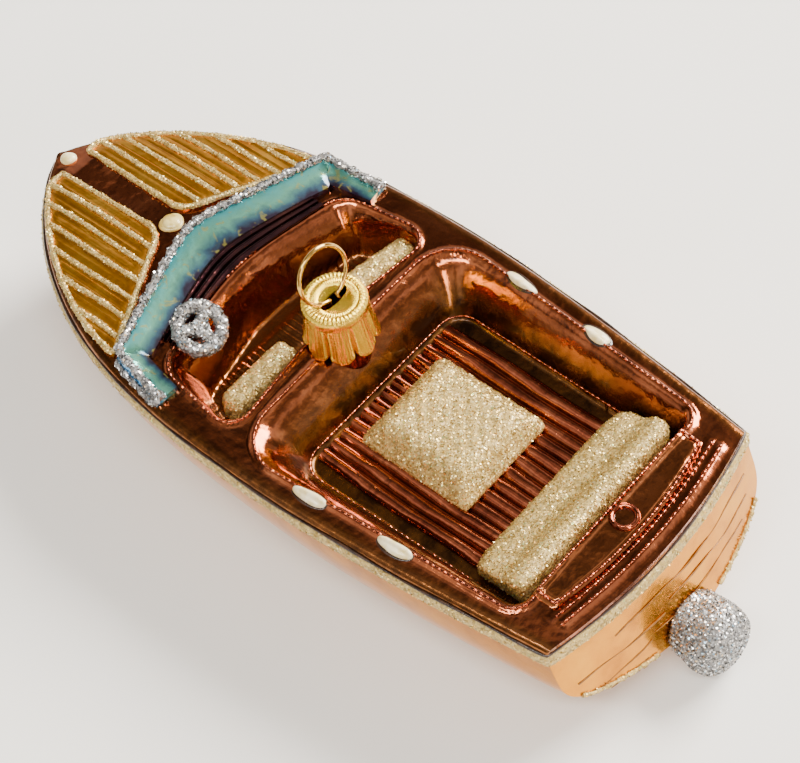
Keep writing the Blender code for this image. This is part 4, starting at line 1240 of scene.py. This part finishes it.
def dash():
    """The ridged lip, closed under its surface."""
    grids = [[], []]
    for k in range(61):
        y = (-1 + k / 30) * DASH_HALF
        share = abs(y) / SCREEN_CORNER[1]
        fore = screen_line(share)[0] + SCREEN_DEPTH - 1.2 * MM * share - 0.3 * MM
        aft = front_rim_station(y) - 0.45 * MM
        row, low = [], []
        for c in range(25):
            station = fore + (aft - fore) * c / 24
            rise = 0.35 + 0.75 * abs(math.sin(math.pi * 3 * c / 24)) ** 0.7
            flat = float(deck_height(np.array(station), np.array(y)))
            row.append(Vector((x_at(station), y, flat + rise * MM)))
            low.append(Vector((x_at(station), y, flat - 0.3 * MM)))
        grids[0].append(row)
        grids[1].append(low)
    points, faces = closed_grid(*grids)
    return new_piece("dash_ridges", points, faces, PLUM, replaces=["dash"])


dash()

# %% [markdown]
# ## Steering wheel
# The wheel is moulded with three spokes and buried in coarse silver glitter, so only its rim and
# three holes read. A torus, a hub and three bars, all lumpy, carry the flakes.

# %% Steering wheel
WHEEL_RADIUS = 3.35 * MM
WHEEL_RIM = 1.0 * MM


def steering_wheel():
    """The wheel on its column, tilted aft."""
    centre = Vector((x_at(44.3 * MM), 12.3 * MM, DECK_Z + 2.6 * MM))
    lean = Matrix.Rotation(math.radians(-34), 3, "Y")
    parts = []
    rim = []
    for k in range(64):
        turn = 2 * math.pi * k / 64
        rim.append(centre + lean @ Vector((math.cos(turn), math.sin(turn), 0)) * WHEEL_RADIUS)
    parts.append(rope(rim, lambda k: WHEEL_RIM * (1 + 0.09 * math.sin(k * 1.1)), 0.3 * MM, 12, True))
    for degrees in (60, 180, 300):
        turn = math.radians(degrees)
        out = lean @ Vector((math.cos(turn), math.sin(turn), 0))
        spoke = [centre + out * (reach * MM) for reach in (0.2, 1.2, 2.2, 3.2)]
        parts.append(rope(spoke, lambda k: 0.95 * MM, 0.3 * MM, 10))
    hub = [centre + lean @ Vector((0, 0, z * MM)) for z in (-0.9, 0.0, 0.75)]
    parts.append(rope([h + Vector((0.001 * MM, 0, 0)) for h in hub], lambda k: 1.35 * MM, 0.3 * MM, 16))
    column = [centre + Vector((0.01 * k * MM, 0, (-0.6 - 0.75 * k) * MM)) for k in range(5)]
    parts.append(rope(column, lambda k: 0.78 * MM, 0.3 * MM, 12))
    points, faces = joined(parts)
    wheel = new_piece("steering_wheel_glue", points, faces, SILVER_BED, replaces=["steering_wheel"])
    scatter("steering_wheel_flakes", wheel, 9.0, SILVER, seed=31,
            size=SILVER_FLAKE_MM)
    return wheel


steering_wheel()

# %% [markdown]
# ## Seats, engine box and bench
# These are smooth blown lumps with glitter laid on thick. A block with rounded edges is made from a
# cube whose points are pulled to a fixed distance from a smaller cube, which gives round edges and
# corners in one step. A little noise makes the glue lumpy before the flakes go on.

# %% Padded lumps
def soft_block(centre, half, radius, draft, cuts, lump, turn=0.0):
    """Points and faces of a block with round edges and sides that lean in towards the top."""
    work = bmesh.new()
    bmesh.ops.create_cube(work, size=2.0)
    bmesh.ops.subdivide_edges(work, edges=work.edges[:], cuts=cuts, use_grid_fill=True)
    half = Vector(half)
    core = Vector([h - radius for h in half])
    spin = Matrix.Rotation(turn, 3, "Z")
    for vertex in work.verts:
        p = Vector([vertex.co[i] * half[i] for i in range(3)])
        inner = Vector([min(max(p[i], -core[i]), core[i]) for i in range(3)])
        out = p - inner
        p = inner + out.normalized() * radius if out.length > 0 else p
        high = (p.z + half.z) / (2 * half.z)
        p.x -= math.copysign(draft * high, p.x) * min(abs(p.x) / core.x, 1.0)
        p.y -= math.copysign(draft * high, p.y) * min(abs(p.y) / core.y, 1.0)
        swell = lump * math.sin(p.x * 2600 + 1.3) * math.sin(p.y * 2300) * (0.4 + 0.6 * high)
        vertex.co = spin @ (p + out.normalized() * swell) + Vector(centre)
    points = [v.co.copy() for v in work.verts]
    faces = [[v.index for v in f.verts] for f in work.faces]
    work.free()
    return points, faces


def glittered(name, node, points, faces, seed, per_mm2=11.0):
    """A pad of glue that stands for a node, with champagne flakes over all but its underside."""
    pad = new_piece(name, points, faces, CHAMPAGNE_BED, replaces=[node], sharp=80)
    scatter(name + "_flakes", pad, per_mm2, CHAMPAGNE, seed=seed,
            keep=lambda at, normal: normal[:, 2] > -0.3)
    return pad


SEAT_HALF = (2.15 * MM, 6.8 * MM, 2.85 * MM)
for side, station, y, turn, seed in (
    ("port", 54.3 * MM, 11.3 * MM, 0.0, 41), ("starboard", 55.0 * MM, -13.9 * MM, -11.0, 42),
):
    centre = (x_at(station), y, FLOOR_Z + 0.35 * MM + SEAT_HALF[2])
    points, faces = soft_block(centre, SEAT_HALF, 1.5 * MM, 0.1 * MM, 22, 0.12 * MM, math.radians(turn))
    glittered("front_pad_" + side, "front_seat_" + side, points, faces, seed)
BOX_LOW, BOX_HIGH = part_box("engine_box")
middle = (BOX_LOW + BOX_HIGH) / 2
half = (BOX_HIGH - BOX_LOW) / 2 + Vector((0.9 * MM, 0.9 * MM, 0.4 * MM))
points, faces = soft_block(middle, half, 1.3 * MM, 3.3 * MM, 40, 0.1 * MM)
glittered("engine_box_pad", "engine_box", points, faces, 43)

# %% Stern bench
BENCH_SEAT = [(98.4, -7.2), (98.8, -4.4), (99.6, -3.2), (101.0, -2.5), (103.2, -2.1), (104.4, -1.5)]
BENCH_BACK = [(105.3, -0.5), (106.2, 0.2), (107.6, 0.5), (108.6, 0.0), (109.0, -1.2), (108.9, -7.2)]


def bench():
    """The bench: a lower seat, a higher back, and ends that round off."""
    section = softened([Vector((s, h, 0)) for s, h in BENCH_SEAT + BENCH_BACK], 3, 2)
    middle = Vector((104.2, -4.0, 0))
    rows = []
    for k in range(71):
        across = -1 + k / 35
        end = max(1 - abs(across) ** 9, 0.0) ** 0.5
        shrink = 0.80 + 0.20 * end
        row = []
        for p in section:
            q = middle + (p - middle) * shrink
            level = max(q.y, -7.2)
            spread = 15.5 + 0.16 * (level + 7.2)
            lump = 0.1 * math.sin(across * 31 + q.x * 2.1) * end
            row.append(Vector((x_at(q.x * MM), across * spread * MM, DECK_Z + (level + lump) * MM)))
        rows.append(row)
    columns = len(section)
    points = [p for row in rows for p in row]
    faces = loft_faces(len(rows), columns, across=True)
    faces += [list(range(columns))[::-1], list(range(70 * columns, 71 * columns))]
    return glittered("stern_bench_pad", "rear_bench", points, faces, 44)


bench()

# %% [markdown]
# ## Ribbed floor
# The rear floor is moulded in ribs that run fore and aft. Mirror glass turns each rib into a pair
# of zigzag highlights, because no rib is quite straight. The ribs are a grid with a rounded wave
# across, and a slow noise along.

# %% Floor
RIBS = 13
FLOOR_HALF = 15.0 * MM


def ribbed_floor():
    """Copper ribs with hollows between them."""
    grids = [[], []]
    stations = np.linspace(68.4, 98.4, 76) * MM
    for k in range(RIBS * 12 + 1):
        share = k / (RIBS * 12)
        y = (-1 + 2 * share) * FLOOR_HALF
        rib = abs(math.sin(math.pi * RIBS * share)) ** 0.75
        row, low = [], []
        for station in stations:
            along = station / MM
            wave = 0.07 * math.sin(along * 0.33 + share * 23) + 0.03 * math.sin(along * 0.9 + share * 31)
            sway = 0.14 * math.sin(along * 0.22 + share * 9) * MM
            height = FLOOR_Z + (0.1 + (0.85 + wave) * rib) * MM
            row.append(Vector((x_at(station), y + sway, height)))
            low.append(Vector((x_at(station), y + sway, FLOOR_Z - 0.3 * MM)))
        grids[0].append(row)
        grids[1].append(low)
    points, faces = closed_grid(*grids)
    # Darker the lower a point lies between the ribs: painted shade in the grooves.
    wash_and_shade = [float(np.clip(1.0 - (p.z - FLOOR_Z) / (0.6 * MM), 0, 1)) * 0.8 for p in points]
    return new_piece("floor_ribs", points, faces, COPPER, replaces=["rear_floor"],
                     wash_and_shade=wash_and_shade, sharp=80)


ribbed_floor()

# %% [markdown]
# ## Stern deck
# A raised plate lies across the stern, with a round vent in its middle. The plate's edge is beaded
# like the rims. The vent is a ring, and a dark disc inside it paints the shade of its hole.

# %% Stern plate and vent
def plate_edges(share):
    """Fore and aft stations of the plate at a share of its half width."""
    bow = 2.2 * MM * share**2
    return 110.3 * MM, 116.0 * MM - bow


def stern_plate():
    """The plate and the beads round it."""
    half = 16.4 * MM
    places, heights = [], []
    for k in range(81):
        share = -1 + k / 40
        fore, aft = plate_edges(share)
        end = 1 - float(smooth((abs(share) - 0.93) / 0.07))
        for c in range(17):
            soft = float(smooth(min(c, 16 - c) / 2.5)) * end
            places.append((x_at(fore + (aft - fore) * c / 16), share * half))
            heights.append((0.1 + 0.75 * soft) * MM)
    grids = []
    for rise in (np.array(heights), -0.3 * MM):
        flat = on_deck(places, rise)
        grids.append([flat[k * 17 : (k + 1) * 17] for k in range(81)])
    points, faces = closed_grid(*grids)
    new_piece("stern_plate", points, faces, COPPER, replaces=["aft_deck_panel"],
              wash_and_shade=[0.35] * len(points))
    edge = [(plate_edges(s)[0] + 0.35 * MM, s) for s in np.linspace(-0.97, 0.97, 40)]
    edge += [(plate_edges(s)[1] - 0.35 * MM, s) for s in np.linspace(0.97, -0.97, 40)]
    line = on_deck([(x_at(station), share * half) for station, share in edge], 0.6 * MM)
    points, faces = rope(line, lambda k: beaded(k, 0.22 * MM), BEAD_STEP, closed=True)
    new_piece("stern_plate_beads", points, faces, COPPER, sharp=80)


def turned(profile, centre, sides, closed=False):
    """A body of revolution round a vertical axis from (radius, height) pairs."""
    points = []
    for k in range(sides):
        turn = 2 * math.pi * k / sides
        out = Vector((math.cos(turn), math.sin(turn), 0))
        points += [centre + out * radius + Vector((0, 0, z)) for radius, z in profile]
    faces = loft_faces(sides, len(profile), across=closed, along=True)
    return points, faces


stern_plate()
VENT = Vector((x_at(113.0 * MM), 0, DECK_Z + 0.5 * MM))
ring = [(1.35, 0.5), (2.15, 0.5), (2.2, 0.95), (2.05, 1.3), (1.8, 1.45), (1.55, 1.4), (1.38, 1.2)]
points, faces = turned([(r * MM, z * MM) for r, z in ring], VENT, 48, closed=True)
new_piece("vent_ring_copper", points, faces, COPPER, replaces=["vent_ring"])
# A dark disc low inside the ring: painted shade for the vent's hole.
hole = [(0.02, 0.62), (0.8, 0.64), (1.36, 0.86), (1.38, 0.5), (0.02, 0.5)]
points, faces = turned([(r * MM, z * MM) for r, z in hole], VENT, 32, closed=True)
new_piece("vent_hole_painted_shade", points, faces, PAINTED_SHADE_BROWN)

# %% [markdown]
# ## Stern knob
# The stern drive is a blunt knob of glass, covered in the coarsest silver glitter. Its flakes are
# dense and stand up, so its outline looks furry.

# %% Knob
def knob():
    """The knob, from its seat on the transom to its blunt end."""
    centre_z = 6.1 * MM
    profile = [(5.1, 6.2), (5.3, 7.2), (5.3, 8.4), (5.0, 9.6), (4.4, 10.6), (3.5, 11.3), (2.3, 11.7),
               (1.1, 11.9), (0.1, 11.95)]
    rows = []
    for radius, reach in [(4.8, None), (5.0, None), *profile]:
        row = []
        for k in range(48):
            turn = 2 * math.pi * k / 48
            lump = 1 + 0.02 * math.sin(3 * turn + (reach or 0)) + 0.015 * math.sin(7 * turn)
            y = radius * lump * MM * math.cos(turn)
            z = max(centre_z + radius * lump * MM * math.sin(turn), 0.6 * MM)
            lean = TRANSOM_LEAN * (SEAM_Z - z) / TRANSOM_DEPTH + (0.1 if radius == 4.8 else 0.5) * MM
            station = LENGTH + (lean if reach is None else reach * MM)
            row.append(Vector((x_at(station), y, z)))
        rows.append(row)
    points = [p for row in rows for p in row]
    faces = loft_faces(len(rows), 48, across=True)
    faces += [list(range(48))[::-1], list(range((len(rows) - 1) * 48, len(rows) * 48))]
    lump = new_piece("stern_knob_glue", points, faces, SILVER_BED, replaces=["outdrive"],
                     sharp=80)
    scatter("stern_knob_flakes", lump, 12.0, SILVER, seed=51, size=0.34)


knob()

# %% [markdown]
# ## Cap and hanger
# The cap is thin brass sheet pressed in a die: radial beads round its top edge, finer ribs inside
# them, a flat middle with a slot, and a skirt cut into petals that flare over the neck. A turned
# profile gives the form, and its radius and height are changed with the angle for the pressing.
# The slot is a Boolean cut, because a lens-shaped hole doesn't follow the turned rows.

# %% Crown cap
NECK_X = x_at(61.3 * MM)
CAP_TOP = 10.3 * MM
CAP_RADIUS = 5.0 * MM
PETALS = 8
CAP_SIDES = 384


def cap_rings():
    """Rings of the cap from the middle of its top, out, down the skirt, and back up inside."""
    top = CAP_TOP
    rows = [
        (0.15, top - 0.42 * MM, 0.0, 0.0), (2.2, top - 0.42 * MM, 0.0, 0.0),
        (2.45, top - 0.36 * MM, 0.0, 0.0), (2.6, top - 0.24 * MM, 0.0, 0.05),
        (3.0, top - 0.18 * MM, 0.0, 0.10), (3.4, top - 0.14 * MM, 0.0, 0.05),
        (3.55, top - 0.18 * MM, 0.0, 0.0), (3.7, top - 0.08 * MM, 0.0, 0.08),
        (4.1, top - 0.06 * MM, 0.0, 0.13), (4.45, top - 0.22 * MM, 0.0, 0.13),
        (4.75, top - 0.50 * MM, 0.0, 0.12), (4.95, top - 0.95 * MM, 0.0, 0.08),
        (4.95, top - 1.4 * MM, 0.0, 0.0), (4.78, top - 1.8 * MM, 0.0, 0.0),
        (4.70, top - 2.2 * MM, 0.05, 0.0), (4.72, top - 3.0 * MM, 0.12, 0.0),
        (4.75, top - 4.2 * MM, 0.22, 0.0), (4.80, top - 5.6 * MM, 0.40, 0.0),
        (4.86, top - 7.0 * MM, 0.55, 0.0), (4.90, top - 8.2 * MM, 0.68, 0.0),
        (4.90, top - 9.0 * MM, 0.78, 0.0),
    ]
    inside = [
        (4.62, top - 9.0 * MM, 0.78, 0.0), (4.58, top - 7.0 * MM, 0.55, 0.0),
        (4.45, top - 4.2 * MM, 0.22, 0.0), (4.40, top - 2.2 * MM, 0.0, 0.0),
        (4.40, top - 0.9 * MM, 0.0, 0.0), (0.15, top - 0.85 * MM, 0.0, 0.0),
    ]
    return rows, inside


def finer(rows, step):
    """The same profile with more rows between the ones given."""
    fine = []
    for a, b in zip(rows, rows[1:]):
        count = max(int(math.hypot(b[0] - a[0], (b[1] - a[1]) / MM) / step), 1)
        fine += [[p + (q - p) * k / count for p, q in zip(a, b)] for k in range(count)]
    return fine + [list(rows[-1])]


def die_pattern(across, down, turn, drop):
    """How far the die pushes a petal out: a beaded outline, and grain inside it."""
    beads = 0.5 + 0.5 * math.cos(2 * math.pi * drop / (0.55 * MM))
    edge = max(0.0, 1 - abs(abs(across) - 0.76) / 0.15)
    end = max(0.0, 1 - abs(down - 0.92) / 0.06) * (0.5 + 0.5 * math.cos(7 * math.pi * across))
    grain = (0.5 + 0.5 * math.cos(56 * turn)) * beads * (abs(across) < 0.55) * (down < 0.85)
    return (0.20 * edge * beads + 0.18 * end + 0.11 * grain) * MM


def crown_cap():
    """The stamped cap, its slot cut through."""
    centre = Vector((NECK_X, 0, DECK_Z))
    outside, inside = cap_rings()
    outside = outside[:12] + finer(outside[12:], 0.16)
    points = []
    for n, (radius, height, flare, bead) in enumerate(outside + inside):
        skirt = max(min((CAP_TOP - height - 1.8 * MM) / (7.2 * MM), 1.0), 0.0)
        outer = n < len(outside)
        for k in range(CAP_SIDES):
            turn = 2 * math.pi * k / CAP_SIDES
            petal = abs(math.cos(PETALS / 2 * turn))
            across = 2 * ((turn * PETALS / (2 * math.pi) + 0.5) % 1) - 1
            count = 44 if radius > 3.6 else 60
            press = 0.5 + 0.5 * math.cos(count * turn)
            reach = radius * MM + flare * MM * petal**0.6
            if outer:
                reach -= 0.7 * MM * skirt * max(0.0, 1 - petal / 0.22)
                reach += die_pattern(across, skirt, turn, CAP_TOP - height) * min(skirt * 8, 1.0)
            raised = height + 1.4 * bead * MM * press + 1.1 * MM * skirt**3 * abs(across) ** 2.5
            points.append(centre + Vector((reach * math.cos(turn), reach * math.sin(turn), raised)))
    count = len(outside) + len(inside)
    faces = loft_faces(count, CAP_SIDES, across=True)
    faces += [list(range(CAP_SIDES)), list(range((count - 1) * CAP_SIDES, count * CAP_SIDES))[::-1]]
    cap = new_piece("crown_cap_brass", points, faces, CAP_BRASS, body="cap", replaces=["crown_cap"],
                    sharp=50)
    half_length, half_width = 2.6 * MM, 0.9 * MM
    plan = [(half_width * math.cos(2 * math.pi * k / 32), half_length * math.sin(2 * math.pi * k / 32))
            for k in range(32)]
    cut = [centre + Vector((x, y, CAP_TOP + z * MM)) for z in (-2.5, 2.0) for x, y in plan]
    mesh = bpy.data.meshes.new("cap_slot")
    sides = [[k, (k + 1) % 32, 32 + (k + 1) % 32, 32 + k] for k in range(32)]
    mesh.from_pydata(cut, [], sides + [list(range(32))[::-1], list(range(32, 64))])
    cutter = bpy.data.objects.new("cap_slot", mesh)
    bpy.context.scene.collection.objects.link(cutter)
    step = cap.modifiers.new("slot", "BOOLEAN")
    step.object = cutter
    step.operation = "DIFFERENCE"
    step.solver = "EXACT"
    bpy.context.view_layer.update()
    pressed = bpy.data.meshes.new_from_object(cap.evaluated_get(bpy.context.evaluated_depsgraph_get()))
    cap.modifiers.clear()
    cap.data = pressed
    bpy.data.objects.remove(cutter)
    return cap


print("cap faces", len(crown_cap().data.polygons))

# %% Hanger loop
LOOP_RADIUS = 4.4 * MM
LOOP_LEAN = math.radians(16)
WIRE_RADIUS = 0.33 * MM


def hanger():
    """The wire loop, leaning forward, and its two legs through the slot."""
    pivot = Vector((NECK_X, 0, DECK_Z + CAP_TOP - 0.6 * MM))
    up = Vector((math.sin(LOOP_LEAN), 0, math.cos(LOOP_LEAN)))
    line = [(1.3 * MM, -3.0 * MM), (1.1 * MM, -1.5 * MM)]
    for k in range(65):
        turn = math.radians(-80 + 340 * k / 64)
        line.append((LOOP_RADIUS * math.cos(turn), LOOP_RADIUS * (1 + math.sin(turn)) + 0.4 * MM))
    line += [(-1.1 * MM, -1.5 * MM), (-1.3 * MM, -3.0 * MM)]
    curve = bpy.data.curves.new("hanger_loop", "CURVE")
    curve.dimensions = "3D"
    curve.bevel_depth = WIRE_RADIUS
    curve.bevel_resolution = 5
    curve.use_fill_caps = True
    spline = curve.splines.new("POLY")
    spline.points.add(len(line) - 1)
    for target, (across, height) in zip(spline.points, line):
        target.co = (*(pivot + Vector((0, across, 0)) + up * height), 1.0)
    curve.materials.append(WIRE_BRASS)
    wire = bpy.data.objects.new("hanger_loop_wire", curve)
    bpy.context.scene.collection.objects.link(wire)
    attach(wire, "hanger")
    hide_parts("hanger_wire")
    return wire


hanger()

# %% [markdown]
# ## Table and light
# The ornament lies on pale card in a light room. A mirror shows what is round it, so the room
# matters more than the lamps: a pale world, with darker stretches for the copper to catch, and a
# few soft boxes whose straight edges give the long highlights.

# %% Table
DARK_CEILING = (0.447, -0.370, 0.814)


def table():
    """A large pale sheet under the ornament."""
    made, tree, shader, point = new_finish("matt_white_card", 0.75)
    fibre = add(
        tree, "ShaderNodeTexNoise", {"Vector": point}, inputs={"Scale": 1 / 40.0, "Detail": 2.0}
    )
    tint = add(
        tree, "ShaderNodeValToRGB", {"Fac": fibre.outputs["Fac"]},
        stops=[(0.3, "#F6F5F1"), (0.7, "#F9F8F5")],
    )
    tree.links.new(tint.outputs[0], shader.inputs["Base Color"])
    mesh = bpy.data.meshes.new("table")
    reach = 3.0
    mesh.from_pydata([(-reach, -reach, 0), (reach, -reach, 0), (reach, reach, 0), (-reach, reach, 0)],
                     [], [(0, 1, 2, 3)])
    mesh.materials.append(made)
    sheet = bpy.data.objects.new("table", mesh)
    bpy.context.scene.collection.objects.link(sheet)


def soft_box(name, place, size, watts, colour):
    """A rectangular lamp that faces the ornament."""
    lamp = bpy.data.lights.new(name, "AREA")
    lamp.shape = "RECTANGLE"
    lamp.size, lamp.size_y = size
    lamp.energy = watts
    lamp.color = linear(colour)[:3]
    box = bpy.data.objects.new(name, lamp)
    bpy.context.scene.collection.objects.link(box)
    box.location = place
    box.rotation_euler = (Vector(place) * -1).to_track_quat("-Z", "Y").to_euler()


def room():
    """The pale room in light and dark patches, dimmer round one direction high up."""
    world = bpy.data.worlds.new("room")
    bpy.context.scene.world = world
    world.use_nodes = True
    tree = world.node_tree
    place = add(tree, "ShaderNodeTexCoord").outputs["Generated"]
    patches = add(tree, "ShaderNodeTexNoise", {"Vector": place}, inputs={"Scale": 2.2, "Detail": 2.0})
    tint = add(
        tree, "ShaderNodeValToRGB", {"Fac": patches.outputs["Fac"]},
        stops=[(0.38, "#4A423C"), (0.50, "#A39C94"), (0.62, "#F2EFEA")],
    )
    overhead = add(
        tree, "ShaderNodeVectorMath", {0: place}, operation="DOT_PRODUCT", inputs={1: DARK_CEILING}
    )
    strength = add(
        tree, "ShaderNodeMapRange", {"Value": overhead.outputs["Value"]},
        inputs={"From Min": 0.70, "From Max": 0.96, "To Min": 1.25, "To Max": 0.85},
    )
    background = tree.nodes["Background"]
    tree.links.new(tint.outputs[0], background.inputs["Color"])
    tree.links.new(strength.outputs[0], background.inputs["Strength"])


table()
room()
soft_box("window", (-0.15, -0.75, 0.60), (0.6, 0.4), 30.0, "#FFF8EE")
soft_box("ceiling_strip", (-0.20, 0.30, 0.80), (0.9, 0.10), 7.0, "#FFFDF8")
soft_box("side_lamp", (-0.60, 0.25, 0.35), (0.10, 0.40), 2.0, "#FFE9CF")
